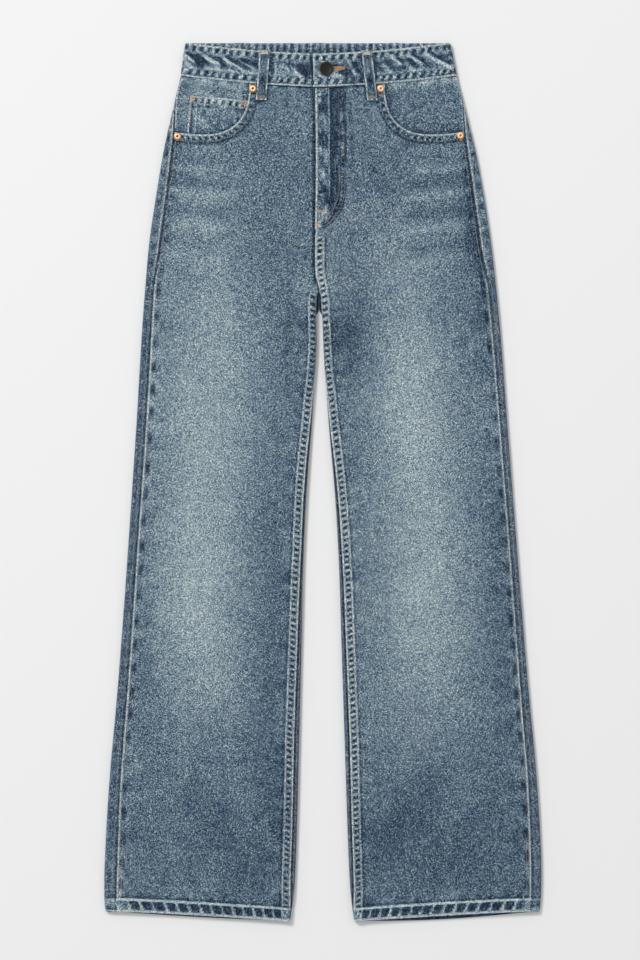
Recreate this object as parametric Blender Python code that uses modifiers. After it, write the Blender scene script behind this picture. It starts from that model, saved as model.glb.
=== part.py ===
"""Straight leg jeans laid flat, front up, on the surface that they rest on.

Units are metres. +X points to the wearer's left, +Y to the waist and +Z up, off the surface.
A place on the cloth is given as x and as "down", its distance below the top of the waistband.
The legs are flattened tubes: the back panels lie on the surface and turn round the outer and
inner folds to meet the front panels on top, a little inside the outline.
"""

import math

import bmesh
import bpy
from mathutils import Vector

MM = 0.001

# Main sizes
LENGTH = 1071.6 * MM  # top of the waistband to the lowest point of the hems
BAND_HEIGHT = 40.3 * MM
FRONT_DIP = 13.8 * MM  # how far the front waistband sags below the back one
WAIST_HALF = 162.0 * MM
CROTCH_DOWN = 303.0 * MM
CROTCH_CLOSE = 12.0 * MM  # length above the crotch over which front and back come together
USUAL_HEIGHT = 5.5 * MM  # of the front layer above the surface

# Thicknesses and gaps
CLOTH = 1.2 * MM
BAND_CLOTH = 2.0 * MM
LOOP_CLOTH = 1.6 * MM
COIN_CLOTH = 1.0 * MM
SEAM_GAP = 0.3 * MM
FOLD_RADIUS = 3.4 * MM  # how far inside the outline the cloth of a fold is flat again

# Outline of the garment as it lies
# down, middle of the outline, half width, how far inside the outline the outseam lies
BODY = [
    (0.0, -5.8, 161.6, 0.0),
    (45.0, -4.7, 169.2, 0.0),
    (66.0, -4.5, 174.4, 0.2),
    (95.0, -4.3, 181.2, 5.2),
    (118.0, -4.0, 187.0, 8.6),
    (143.0, -3.5, 192.2, 10.6),
    (192.0, -3.2, 200.6, 12.4),
    (240.0, -3.0, 207.8, 12.8),
    (289.0, -2.4, 213.0, 12.8),
    (350.0, -1.8, 218.4, 12.8),
    (460.0, -1.5, 225.7, 12.3),
    (570.0, -1.0, 233.6, 11.6),
    (680.0, -0.3, 241.6, 11.2),
    (789.0, 0.0, 250.0, 11.3),
    (899.0, 0.3, 259.9, 12.4),
    (991.0, 0.2, 265.2, 14.0),
    (1046.0, -0.2, 265.7, 13.8),
    (1074.0, -0.3, 262.0, 13.0),
]

# Inner folds of the legs
# down, half of the gap between the legs, how far inside the fold the inseam lies
LEG = [
    (303.0, 0.6, 0.0),
    (326.0, 1.2, 0.0),
    (345.0, 3.4, 0.0),
    (368.0, 4.9, 0.0),
    (400.0, 6.4, 0.0),
    (433.0, 8.4, 0.7),
    (460.0, 10.2, 1.5),
    (523.0, 15.2, 3.9),
    (570.0, 18.5, 5.0),
    (643.0, 22.0, 6.0),
    (734.0, 24.4, 6.8),
    (844.0, 27.5, 7.0),
    (954.0, 30.7, 6.3),
    (1027.0, 33.8, 5.6),
    (1050.0, 36.2, 3.0),
    (1074.0, 39.4, 1.2),
]

# Front edge of the left front, which laps over the right one
# down, x
FLY_EDGE = [
    (54.0, -10.9),
    (110.0, -9.5),
    (167.0, -8.2),
    (240.0, -7.8),
    (280.0, -7.4),
    (303.0, -3.0),
]

# Soft rises of the front layer above its usual height
# x, down, reach across, reach lengthwise, rise
SWELLS = [
    (-4.0, 150.0, 190.0, 150.0, 0.5),
    (-115.0, 78.0, 62.0, 50.0, 0.8),
    (105.0, 78.0, 62.0, 50.0, 0.8),
    (-140.0, 1064.0, 80.0, 60.0, 0.4),
    (150.0, 1062.0, 85.0, 70.0, 0.5),
]

# Largest folds of the front layer; a trough has a rise below 0
# start x, start down, end x, end down, half width, rise
FOLDS = [
    (-160.0, 905.0, -84.0, 1030.0, 19.0, -1.6),
    (-118.0, 880.0, -50.0, 1005.0, 17.0, 0.6),
    (-226.0, 1000.0, -168.0, 1006.0, 14.0, -0.8),
    (150.0, 880.0, 66.0, 1000.0, 19.0, -1.8),
    (186.0, 900.0, 110.0, 1010.0, 17.0, 0.6),
    (130.0, 1008.0, 200.0, 1018.0, 14.0, -0.9),
    (-24.0, 272.0, -80.0, 330.0, 15.0, -0.7),
    (20.0, 272.0, 76.0, 330.0, 15.0, -0.7),
]

# Fly
FLY_WIDTH = 43.0 * MM
FLY_STRAIGHT_DOWN = 176.0 * MM
FLY_END_DOWN = 236.0 * MM
FLY_RISE = 1.3 * MM  # how far its facing lifts the left front
FLY_LAP = 12.0 * MM  # how far the right front goes on below the left one
FLY_LAP_DROP = 1.7 * MM

# Waistband
BAND_RISE = 0.9 * MM  # of its outer face at the sides above the usual height
BAND_FLY_RISE = 2.6 * MM  # further rise over the fly
BAND_END_X = -11.3 * MM  # end of the left part, which lies on top
UNDERLAP = 36.0 * MM
EYE_X = 4.9 * MM
EYE_RADIUS = 3.2 * MM
SLIT_LENGTH = 20.0 * MM
SLIT_WIDTH = 2.0 * MM

# Front pocket openings: a quarter ellipse, then nearly straight to the outseam
POCKET_MIDDLE_X = -6.3 * MM  # midway between the two openings
POCKET_NEAR = 82.6 * MM
POCKET_FLAT_FROM = 140.0 * MM
POCKET_SIDE = 178.0 * MM
POCKET_TOP_DOWN = 50.0 * MM
POCKET_DEPTH = 62.0 * MM
POCKET_END_LIFT = 3.5 * MM
POCKET_EDGE_WIDTH = 9.0 * MM
POCKET_EDGE_RISE = 0.6 * MM
FACING_UNDER = 12.0 * MM  # how far the facing goes on below the front panel

# Coin pocket, on the wearer's right
COIN_LEFT_X = -161.0 * MM
COIN_RIGHT_X = -88.0 * MM
COIN_TOP_DOWN = 64.2 * MM
COIN_TOP_SLOPE = 0.089
COIN_END_DOWN = 116.0 * MM

# Seams and hems
INSEAM_WIDTH = 10.5 * MM
INSEAM_RISE = 0.8 * MM
HEM_HEIGHT = 16.0 * MM
HEM_RISE = 0.8 * MM
HEM_SLANT = 12.0 * MM
HEM_OUTER_DOWN = 1059.5 * MM
HEM_BACK_DROP = {-1: 2.2 * MM, 1: 4.6 * MM}  # how far the back hem shows below the front one
YOKE_SIDE_DOWN = 70.0 * MM
YOKE_MIDDLE_DOWN = 110.0 * MM
YOKE_SIDE_AWAY = 172.0 * MM

# Back pockets and belt loops
BACK_POCKET_AWAY = 101.0 * MM
BACK_POCKET_WIDTH = 132.0 * MM
BACK_POCKET_TOP = 139.0 * MM
BACK_POCKET_END = 289.0 * MM
BACK_POCKET_POINT = 22.0 * MM
BACK_POCKET_TAPER = 5.0 * MM
LOOP_WIDTH = 12.7 * MM
BACK_LOOP_AWAY = {"right": -95.0 * MM, "centre": 0.0, "left": 95.0 * MM}
BACK_LOOP_END = 50.0 * MM
# side, x and down of the top, x and down of the end
FRONT_LOOPS = {"right": (-69.8, 9.3, -74.4, 70.3), "left": (54.0, 10.4, 61.1, 70.8)}

# Metal
BUTTON_DOWN = 32.5 * MM
BUTTON_RADIUS = 8.7 * MM
BUTTON_HEIGHT = 3.2 * MM
NECK_RADIUS = 2.7 * MM
RIVET_RADIUS = 4.75 * MM
RIVET_HEIGHT = 1.6 * MM
# x, down
RIVETS = {
    "right_inner": (-84.5, 56.2),
    "right_outer": (-176.4, 114.4),
    "left_inner": (71.4, 56.2),
    "left_outer": (168.4, 113.4),
}

SIDES = {-1: "right", 1: "left"}


# Curves and heights


def along(table, down, column):
    """A column of a table at that distance down, on a smooth curve through its rows."""
    at = down / MM
    last = len(table) - 1
    if at <= table[0][0]:
        return table[0][column] * MM
    if at >= table[last][0]:
        return table[last][column] * MM
    i = max(k for k in range(last) if table[k][0] <= at)
    start, end = table[i], table[i + 1]

    def slope(k):
        before, after = table[max(k - 1, 0)], table[min(k + 1, last)]
        return (after[column] - before[column]) / (after[0] - before[0])

    step = end[0] - start[0]
    t = (at - start[0]) / step
    value = (
        (2 * t**3 - 3 * t**2 + 1) * start[column]
        + (t**3 - 2 * t**2 + t) * step * slope(i)
        + (3 * t**2 - 2 * t**3) * end[column]
        + (t**3 - t**2) * step * slope(i + 1)
    )
    return value * MM


def ease(value, low, high):
    """0 below low, 1 above high and smooth between them."""
    t = min(max((value - low) / (high - low), 0.0), 1.0)
    return t * t * (3 - 2 * t)


def mix(a, b, share):
    return a + (b - a) * share


def middle(down):
    return along(BODY, down, 1)


def half_width(down):
    return along(BODY, down, 2)


def closing(down):
    """0 above the crotch, where front and back are apart at the middle, and 1 below it."""
    return ease(down, CROTCH_DOWN - CROTCH_CLOSE, CROTCH_DOWN)


def front_edge(side, down):
    """How far outward of the middle a front panel starts: at the fly edge or the leg's inner fold."""
    fly = side * (along(FLY_EDGE, down, 1) - middle(down))
    return mix(fly, along(LEG, down, 1), closing(down))


def back_edge(down):
    return mix(SEAM_GAP / 2, along(LEG, down, 1), closing(down))


def band_dip(x):
    """How far the front waistband's top edge lies below the back one's."""
    away = min(abs(x - middle(0.0)) / WAIST_HALF, 1.0)
    return FRONT_DIP * (1 - away**1.5)


def band_x(x, down):
    """Where a place across the waistband's top edge comes to lie further down."""
    return middle(down) + (x - middle(0.0)) * half_width(down) / half_width(0.0)


def waist_seam(x):
    top_x = middle(0.0) + (x - middle(BAND_HEIGHT)) * half_width(0.0) / half_width(BAND_HEIGHT)
    return band_dip(top_x) + BAND_HEIGHT


def pocket_curve(away, grown=0.0):
    """Lower edge of a pocket opening at a distance from the pockets' middle, grown outward."""
    if away < POCKET_FLAT_FROM:
        across = POCKET_FLAT_FROM - POCKET_NEAR + grown
        share = min((POCKET_FLAT_FROM - away) / across, 1.0)
        return POCKET_TOP_DOWN + (POCKET_DEPTH + grown) * math.sqrt(1 - share * share)
    outer = (away - POCKET_FLAT_FROM) / (POCKET_SIDE - POCKET_FLAT_FROM)
    return POCKET_TOP_DOWN + POCKET_DEPTH + grown - POCKET_END_LIFT * outer**2


def coin_top(x):
    return COIN_TOP_DOWN + COIN_TOP_SLOPE * (x - COIN_LEFT_X)


def yoke_seam(x):
    away = min(abs(x - middle(80 * MM)) / YOKE_SIDE_AWAY, 1.0)
    return mix(YOKE_MIDDLE_DOWN, YOKE_SIDE_DOWN, away)


def hem_down(inward):
    """Lower edge of the front hem, from the leg's outer fold, 0, to its inner fold, 1."""
    return HEM_OUTER_DOWN + HEM_SLANT * min(max(inward, 0.0), 1.0) ** 1.3


def front_height(x, down):
    """Height of the front layer's outer face, with its swells and folds."""
    height = USUAL_HEIGHT
    for swell_x, swell_down, across, lengthwise, rise in SWELLS:
        reach = ((x / MM - swell_x) / across) ** 2 + ((down / MM - swell_down) / lengthwise) ** 2
        height += rise * MM * math.exp(-reach)
    for x0, down0, x1, down1, spread, rise in FOLDS:
        run = Vector((x1 - x0, down1 - down0))
        offset = Vector((x / MM - x0, down / MM - down0))
        share = offset.dot(run) / run.length_squared
        off = (offset - run * share).length / spread
        beyond = max(abs(share - 0.5) - 0.35, 0.0) * run.length / (1.6 * spread)
        height += rise * MM * math.exp(-off * off - beyond * beyond)
    return height


def band_height(x):
    """Height of the waistband's outer face at the front."""
    away = abs(x - EYE_X + 4 * MM)
    return USUAL_HEIGHT + BAND_RISE + BAND_FLY_RISE * (1 - ease(away, 28 * MM, 78 * MM))


# Folds of the cloth


def place(x, down, height):
    return Vector((x, LENGTH / 2 - down, height))


def quarter_length(rise, radius=FOLD_RADIUS):
    """Length of a quarter of a fold's round."""
    return math.pi / 2 * math.sqrt((radius**2 + (rise / 2) ** 2) / 2)


def fold_point(arc, rise, lift, sink, radius=FOLD_RADIUS):
    """(distance inside the outline, height) at a distance along the cloth from a fold's outermost line.

    arc is positive on the upper layer. lift raises the upper layer and sink the lower one.
    """
    quarter = quarter_length(rise, radius)
    angle = min(max(arc / quarter, -1.0), 1.0) * math.pi / 2
    out = mix(-sink, lift, (1 + math.sin(angle)) / 2)
    inside = radius - (radius + out) * math.cos(angle) + max(abs(arc) - quarter, 0.0)
    return inside, rise / 2 + (rise / 2 + out) * math.sin(angle)


def arc_of(inset, rise):
    """Distance along the cloth from a fold's outermost line to a place that far inside the outline."""
    quarter = quarter_length(rise)
    if inset >= FOLD_RADIUS:
        return quarter + inset - FOLD_RADIUS
    return quarter * math.acos(1 - max(inset, 0.0) / FOLD_RADIUS) * 2 / math.pi


def rim_rise(side, down, edge):
    """Height of the front layer where the round of a fold at that distance from the middle ends."""
    return front_height(middle(down) + side * edge, down)


def outer_rise(side, down):
    return rim_rise(side, down, half_width(down) - FOLD_RADIUS)


def outer_fold(side, down, arc, lift, sink):
    """A point of the cloth near the outer fold."""
    rise = outer_rise(side, down)
    inside, height = fold_point(arc, rise, lift, sink)
    x = middle(down) + side * (half_width(down) - inside)
    if arc > quarter_length(rise):
        height = front_height(x, down) + lift
    return place(x, down, height)


def inner_fold(side, down, edge, arc, lift, sink):
    """A point of the cloth near a leg's inner fold, or near the middle above the crotch."""
    rise = rim_rise(side, down, edge + FOLD_RADIUS)
    shut = closing(down)
    inside, height = fold_point(arc, rise, lift, sink)
    x = middle(down) + side * (edge + mix(abs(arc), inside, shut))
    if arc > quarter_length(rise):
        return place(x, down, front_height(x, down) + lift)
    if arc < -quarter_length(rise):
        return place(x, down, sink)
    apart = front_height(x, down) + lift if arc > 0 else sink
    return place(x, down, mix(apart, height, shut))


def outseam_arc(side, down):
    return arc_of(along(BODY, down, 3), outer_rise(side, down))


def inseam_arc(side, down):
    edge = along(LEG, down, 1)
    return arc_of(along(LEG, down, 2), rim_rise(side, down, edge + FOLD_RADIUS))


# Building


def make_material(name, colour, roughness, metallic=0.0):
    made = bpy.data.materials.new(name)
    made.use_nodes = True
    shader = made.node_tree.nodes["Principled BSDF"]
    shader.inputs["Base Color"].default_value = (*colour, 1.0)
    shader.inputs["Roughness"].default_value = roughness
    shader.inputs["Metallic"].default_value = metallic
    made.diffuse_color = (*colour, 1.0)
    return made


DENIM = (0.10, 0.13, 0.19)
FACING = (0.12, 0.15, 0.21)
BLACK_METAL = (0.03, 0.03, 0.03)
COPPER = (0.48, 0.25, 0.13)


def start_scene():
    for obj in list(bpy.data.objects):
        bpy.data.objects.remove(obj)
    parts = bpy.data.collections.new("straight_leg_jeans")
    cutters = bpy.data.collections.new("cutters")
    for collection in (parts, cutters):
        bpy.context.scene.collection.children.link(collection)
    return parts, cutters


def add_object(collection, name, mesh, colour=None, roughness=0.9, metallic=0.0):
    obj = bpy.data.objects.new(name, mesh)
    collection.objects.link(obj)
    if colour is not None:
        mesh.materials.append(make_material(name, colour, roughness, metallic))
    return obj


def add_wall(collection, name, outer, inner, colour=DENIM):
    """A closed wall between two grids of points with the same rows and columns."""
    rows, columns = len(outer), len(outer[0])
    bm = bmesh.new()
    top, bottom = ([[bm.verts.new(point) for point in row] for row in grid] for grid in (outer, inner))
    for i in range(rows - 1):
        for j in range(columns - 1):
            bm.faces.new((top[i][j], top[i][j + 1], top[i + 1][j + 1], top[i + 1][j]))
            bm.faces.new((bottom[i][j], bottom[i + 1][j], bottom[i + 1][j + 1], bottom[i][j + 1]))
    border = [(0, j) for j in range(columns)]
    border += [(i, columns - 1) for i in range(1, rows)]
    border += [(rows - 1, j) for j in range(columns - 2, -1, -1)]
    border += [(i, 0) for i in range(rows - 2, 0, -1)]
    for (i, j), (k, m) in zip(border, border[1:] + border[:1]):
        bm.faces.new((top[i][j], bottom[i][j], bottom[k][m], top[k][m]))
    bmesh.ops.recalc_face_normals(bm, faces=bm.faces)
    mesh = bpy.data.meshes.new(name)
    bm.to_mesh(mesh)
    bm.free()
    mesh.shade_smooth()
    mesh.set_sharp_from_angle(angle=math.radians(50))
    return add_object(collection, name, mesh, colour)


def add_prism(collection, name, outline, low, high, colour=None):
    """A plate with that outline of (x, down) between two heights."""
    bm = bmesh.new()
    face = bm.faces.new([bm.verts.new(place(x, down, low)) for x, down in outline])
    made = bmesh.ops.extrude_face_region(bm, geom=[face])["geom"]
    moved = [item for item in made if isinstance(item, bmesh.types.BMVert)]
    bmesh.ops.translate(bm, verts=moved, vec=(0.0, 0.0, high - low))
    bmesh.ops.recalc_face_normals(bm, faces=bm.faces)
    mesh = bpy.data.meshes.new(name)
    bm.to_mesh(mesh)
    bm.free()
    return add_object(collection, name, mesh, colour)


def cut(obj, cutters, name, outline, low, high):
    cutter = add_prism(cutters, name, outline, low, high)
    cutter.hide_render = True
    cutter.display_type = "WIRE"
    modifier = obj.modifiers.new(name, "BOOLEAN")
    modifier.operation = "DIFFERENCE"
    modifier.solver = "EXACT"
    modifier.object = cutter


def add_turned(collection, name, centre, profile, steps, colour, roughness):
    """A turned piece from (radius, height) points in mm, top to bottom on its outer side."""
    mesh = bpy.data.meshes.new(name)
    points = [(radius * MM, 0.0, height * MM) for radius, height in profile]
    mesh.from_pydata(points, [(i, i + 1) for i in range(len(points) - 1)], [])
    obj = add_object(collection, name, mesh, colour, roughness, 1.0)
    obj.location = centre
    screw = obj.modifiers.new("turn", "SCREW")
    screw.axis = "Z"
    screw.angle = math.tau
    screw.steps = steps
    screw.render_steps = steps
    screw.use_merge_vertices = True
    screw.merge_threshold = 0.00001
    screw.use_smooth_shade = True
    return obj


# Front panels

# Columns of a front panel from its inner edge, in mm; the others are even up to the outseam
FRONT_NEAR = [0.0, 5.0, 9.5, 11.5, 27.0, 44.5, 48.5, 66.0]
FRONT_EVEN = 8
# Where the even columns meet the pocket opening, in mm from the pockets' middle
ON_CURVE = [POCKET_NEAR / MM, 83.6, 86.8, 94.0, 106.0, 123.0, 147.0]
CONFORM_ROWS = 4
FRONT_LEVELS = [
    150.0, 172.0, 196.0, 222.0, 240.0, 262.0, 282.0, 291.0, 297.0, 303.0, 312.0, 326.0, 345.0,
    372.0, 405.0, 440.0, 480.0, 523.0, 570.0, 620.0, 680.0, 740.0, 800.0, 845.0, 880.0, 910.0,
    940.0, 968.0, 994.0, 1020.0,
]  # fmt: skip
HEM_ROWS = [-1.2, 0.0, 15.2, 16.0]  # below the upper edge of the hem, in mm


def fly_lap(side, down):
    """How far a front panel goes on below the other one's edge."""
    if side > 0:
        return 0.0
    return FLY_LAP * (1 - ease(down, FLY_END_DOWN, CROTCH_DOWN - CROTCH_CLOSE))


def front_lifts(side, down, off):
    """(rise of the whole wall, rise of its outer face only) at a distance from the fly edge or inseam."""
    felled = 1 - ease(off, INSEAM_WIDTH - MM, INSEAM_WIDTH + MM)
    if side > 0:
        ended = ease(down, 240 * MM, 262 * MM)
        whole = FLY_RISE * (1 - ease(off, 44.6 * MM, 48.4 * MM)) * (1 - ended)
        return whole, INSEAM_RISE * felled * ended
    sunk = (1 - ease(off, 0.6 * MM, 9.4 * MM)) * (1 - closing(down))
    return -FLY_LAP_DROP * sunk, INSEAM_RISE * felled * closing(down)


def front_offsets(side, down):
    """Distances of the columns from the fly edge or inseam, along the cloth."""
    lap = fly_lap(side, down)
    near = [offset * MM for offset in FRONT_NEAR]
    near[0] = -lap
    near[1] = mix(near[1], 0.5 * MM, lap / FLY_LAP)
    edge = front_edge(side, down)
    start = inseam_arc(side, down) * closing(down) + SEAM_GAP * 0.7
    rise = rim_rise(side, down, edge + FOLD_RADIUS)
    turned = (quarter_length(rise) - FOLD_RADIUS) * closing(down)
    outer = half_width(down) - along(BODY, down, 3) - SEAM_GAP / 2
    whole = outer - edge + turned - start
    even = [mix(near[-1], whole, k / FRONT_EVEN) for k in range(1, FRONT_EVEN + 1)]
    return start, near + even


def front_pair(side, down, start, offset, rise=0.0):
    """The outer and the inner point of a front panel."""
    whole, outer_only = front_lifts(side, down, offset)
    edge = front_edge(side, down)
    pair = []
    for lift in (rise + outer_only, -CLOTH):
        if closing(down) > 0:
            pair.append(inner_fold(side, down, edge, start + offset, lift + whole, 0.0))
            continue
        x = middle(down) + side * (edge + start + offset)
        pair.append(place(x, down, front_height(x, down) + lift + whole))
    return pair


def front_top_rows(side):
    """(offset, down) of the top edge, along the waist seam and the opening, and of its border's end."""
    top, turned = [], []
    for offset in FRONT_NEAR:
        off = offset * MM
        if side < 0 and offset == 0.0:
            off = -FLY_LAP
        elif side < 0 and offset == 5.0:
            off = 0.5 * MM
        x = along(FLY_EDGE, 54 * MM, 1) + side * off
        down = waist_seam(x) + SEAM_GAP
        top.append((off, down))
        turned.append((off, down + POCKET_EDGE_WIDTH))
    for away in ON_CURVE:
        x = POCKET_MIDDLE_X + side * away * MM
        down = max(pocket_curve(away * MM), waist_seam(x) + SEAM_GAP)
        across = max(POCKET_FLAT_FROM - away * MM, 0.0) / (POCKET_FLAT_FROM - POCKET_NEAR) ** 2
        lengthwise = max(down - POCKET_TOP_DOWN, 0.2 * MM) / POCKET_DEPTH**2
        normal = Vector((-across, lengthwise)).normalized()
        if away == ON_CURVE[0]:
            normal = Vector((-1.0, 0.45))
        off = side * (x - along(FLY_EDGE, down, 1))
        top.append((off, down))
        turned.append((off + normal.x * POCKET_EDGE_WIDTH, down + normal.y * POCKET_EDGE_WIDTH))
    end = pocket_curve(POCKET_SIDE)
    for row, down in ((top, end), (turned, end + POCKET_EDGE_WIDTH)):
        row.append((front_offsets(side, down)[1][-1], down))
    return top, turned


def front_panel(parts, side):
    outer, inner = [], []

    def add_row(row, rises):
        pairs = []
        for (offset, down), rise in zip(row, rises):
            start = front_offsets(side, down)[0]
            pairs.append(front_pair(side, down, start, offset, rise))
        outer.append([pair[0] for pair in pairs])
        inner.append([pair[1] for pair in pairs])

    top, turned = front_top_rows(side)
    count = len(top)
    border = [POCKET_EDGE_RISE if j > len(FRONT_NEAR) else 0.0 for j in range(count)]
    add_row(top, border)
    add_row(turned, border)
    first = FRONT_LEVELS[0] * MM
    goal = front_offsets(side, first)[1]
    for k in range(1, CONFORM_ROWS + 1):
        t = k / (CONFORM_ROWS + 1)
        row = [(mix(a, b, ease(t, 0, 1)), mix(down, first, t)) for (a, down), b in zip(turned, goal)]
        last_down = row[-1][1]
        row[-1] = (front_offsets(side, last_down)[1][-1], last_down)
        add_row(row, [0.0] * count)
    for level in FRONT_LEVELS:
        down = level * MM
        add_row([(offset, down) for offset in front_offsets(side, down)[1]], [0.0] * count)
    for hem_row in HEM_ROWS:
        row = []
        for j in range(count):
            down = hem_down(1 - j / (count - 1)) + hem_row * MM - HEM_HEIGHT
            for _ in range(2):
                offsets = front_offsets(side, down)[1]
                down = hem_down(1 - offsets[j] / offsets[-1]) + hem_row * MM - HEM_HEIGHT
            row.append((front_offsets(side, down)[1][j], down))
        add_row(row, [HEM_RISE if hem_row >= 0 else 0.0] * count)
    return add_wall(parts, f"front_{SIDES[side]}", outer, inner)


# Back panels and yokes

INNER_STEPS = 5
FLAT_SHARES = [0.07, 0.135, 0.37, 0.61, 0.855, 0.925]
OUTER_STEPS = 6
BACK_COLUMNS = INNER_STEPS + len(FLAT_SHARES) + OUTER_STEPS + 2
BACK_LEVELS = [
    127.0, 132.0, 150.0, 176.0, 214.0, 250.0, 276.0, 288.0, 291.0, 297.0, 303.0, 312.0, 326.0, 345.0,
    372.0, 405.0, 440.0, 480.0, 523.0, 570.0, 640.0, 720.0, 800.0, 870.0, 930.0, 985.0, 1022.0,
]  # fmt: skip


def raised_inside(x, down):
    """How far the inner face of the back layer is lifted by what is sewn on below it."""
    pocket_x = middle(BACK_POCKET_TOP) + math.copysign(BACK_POCKET_AWAY, x - middle(down))
    across = abs(x - pocket_x) - BACK_POCKET_WIDTH / 2
    lengthwise = max(BACK_POCKET_TOP - down, down - BACK_POCKET_END)
    pocket = 1 - ease(max(across, lengthwise), 8.5 * MM, 11 * MM)
    loop = 0.0
    for away in BACK_LOOP_AWAY.values():
        across = abs(x - middle(0.0) - away) - LOOP_WIDTH / 2
        near = 1 - ease(max(across, down - BACK_LOOP_END), 2.6 * MM, 3.9 * MM)
        loop = max(loop, near)
    return max((CLOTH + SEAM_GAP) * pocket, (LOOP_CLOTH + SEAM_GAP) * loop)


def back_point(side, down, j, face, hem=0.0):
    """A point of the back layer in column j, on its outer (0) or inner (1) face."""
    edge = back_edge(down)
    rise_in = rim_rise(side, down, edge + FOLD_RADIUS)
    rise_out = outer_rise(side, down)
    shut = closing(down)
    lift = -CLOTH if face else hem
    sink = CLOTH + hem if face else 0.0
    near = quarter_length(rise_in)
    if j <= INNER_STEPS:
        seam = (inseam_arc(side, down) - SEAM_GAP * 0.7) * shut
        arc = mix(-seam, near, j / INNER_STEPS)
        return inner_fold(side, down, edge, -arc, lift, sink)
    k = j - INNER_STEPS - 1
    if k < len(FLAT_SHARES):
        start = edge + mix(near, FOLD_RADIUS, shut)
        x = middle(down) + side * mix(start, half_width(down) - FOLD_RADIUS, FLAT_SHARES[k])
        return place(x, down, sink + (raised_inside(x, down) if face else 0.0))
    k -= len(FLAT_SHARES)
    seam = outseam_arc(side, down) - SEAM_GAP / 2
    arc = mix(-quarter_length(rise_out), seam, k / OUTER_STEPS)
    return outer_fold(side, down, arc, lift, sink)


def seam_down(x_at):
    """Where a column, given by its x at a distance down, crosses the yoke seam."""
    down = 90 * MM
    for _ in range(6):
        down = yoke_seam(x_at(down))
    return down


def back_grids(side, rows):
    """Outer and inner grids through rows of (down, hem rise) per column."""
    grids = ([], [])
    for face, grid in enumerate(grids):
        for row in rows:
            grid.append([back_point(side, down, j, face, hem) for j, (down, hem) in enumerate(row)])
    return grids


def back_panel(parts, side):
    rows = []
    columns = range(BACK_COLUMNS)
    top = [seam_down(lambda down, j=j: back_point(side, down, j, 0).x) + SEAM_GAP for j in columns]
    first = BACK_LEVELS[0] * MM
    for t in (0.0, 0.55):
        rows.append([(mix(down, first, t), 0.0) for down in top])
    for level in BACK_LEVELS:
        rows.append([(level * MM, 0.0)] * BACK_COLUMNS)
    level = 1050 * MM
    inner, outer = back_edge(level), half_width(level)
    for hem_row in HEM_ROWS:
        row = []
        for j in range(BACK_COLUMNS):
            away = side * (back_point(side, level, j, 0).x - middle(level))
            inward = min(max((outer - away) / (outer - inner), 0.0), 1.0)
            down = hem_down(inward) + hem_row * MM - HEM_HEIGHT
            if INNER_STEPS < j <= INNER_STEPS + len(FLAT_SHARES) + 1:
                down += HEM_BACK_DROP[side] * math.sin(math.pi * inward)
            row.append((down, HEM_RISE if hem_row >= 0 else 0.0))
        rows.append(row)
    outer_grid, inner_grid = back_grids(side, rows)
    return add_wall(parts, f"back_{SIDES[side]}", outer_grid, inner_grid)


YOKE_COLUMNS = [-0.2, 9.2, 10.6, 40.0, 84.2, 85.6, 104.4, 105.8, 130.0, 150.0]


def yoke_point(side, down, j, face):
    """A point of a yoke, with columns at the edges of what the belt loops raise."""
    lift, sink = (-CLOTH, CLOTH) if face else (0.0, 0.0)
    if j < len(YOKE_COLUMNS):
        x = middle(0.0) + side * YOKE_COLUMNS[j] * MM
        if j == 0:
            x = middle(down) + side * SEAM_GAP / 2
        return place(x, down, sink + (raised_inside(x, down) if face else 0.0))
    seam = outseam_arc(side, down) - SEAM_GAP / 2
    arc = mix(-quarter_length(outer_rise(side, down)), seam, (j - len(YOKE_COLUMNS)) / OUTER_STEPS)
    return outer_fold(side, down, arc, lift, sink)


def yoke(parts, side):
    columns = len(YOKE_COLUMNS) + OUTER_STEPS + 1
    loop_end = BACK_LOOP_END
    levels = [BAND_HEIGHT + SEAM_GAP, loop_end + 2.4 * MM, loop_end + 4 * MM, 62 * MM, 66 * MM]
    ends = [seam_down(lambda down, j=j: yoke_point(side, down, j, 0).x) for j in range(columns)]
    grids = ([], [])
    for face, grid in enumerate(grids):
        for down in levels:
            grid.append([yoke_point(side, down, j, face) for j in range(columns)])
        grid.append([yoke_point(side, ends[j], j, face) for j in range(columns)])
    return add_wall(parts, f"yoke_{SIDES[side]}", grids[0], grids[1])


# Waistband

# Columns of the waistband, in mm: from its upper end, across the back and across the right front
BAND_FROM_END = [0.0, 4.0, 14.0, 26.0, 36.5, 40.0, 55.0, 72.0, 92.0, 115.0, 138.0]
BAND_BACK_AWAY = [145.0, 125.0, 108.9, 105.8, 104.2, 85.8, 84.2, 82.0, 60.0, 34.0, 12.0, 10.8, 9.2]
BAND_RIGHT_X = [-150.0, -130.0, -110.0, -90.0, -72.0, -55.0, -40.0, -30.0, -22.0]
BAND_UNDER = [-1.0, 6.0, 16.0, 26.0]
BAND_ROWS = [0.0, 13.0, 27.0, 40.3]
BAND_RADIUS = 3.9 * MM
BAND_FOLD_STEPS = 8


def band_columns():
    """(layer, side or x, place) of the waistband's columns, from its upper end round to its lower end."""
    end, centre = BAND_END_X / MM, middle(0.0) / MM
    columns = [("top", end + offset) for offset in BAND_FROM_END]
    columns += [("left", k) for k in range(BAND_FOLD_STEPS + 1)]
    columns += [("back", centre + away) for away in BAND_BACK_AWAY]
    columns += [("back", centre - away) for away in reversed(BAND_BACK_AWAY)]
    columns += [("right", k) for k in range(BAND_FOLD_STEPS + 1)]
    columns += [("top", x) for x in BAND_RIGHT_X]
    columns += [("under", end + offset) for offset in BAND_UNDER + [UNDERLAP / MM]]
    return columns


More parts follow.
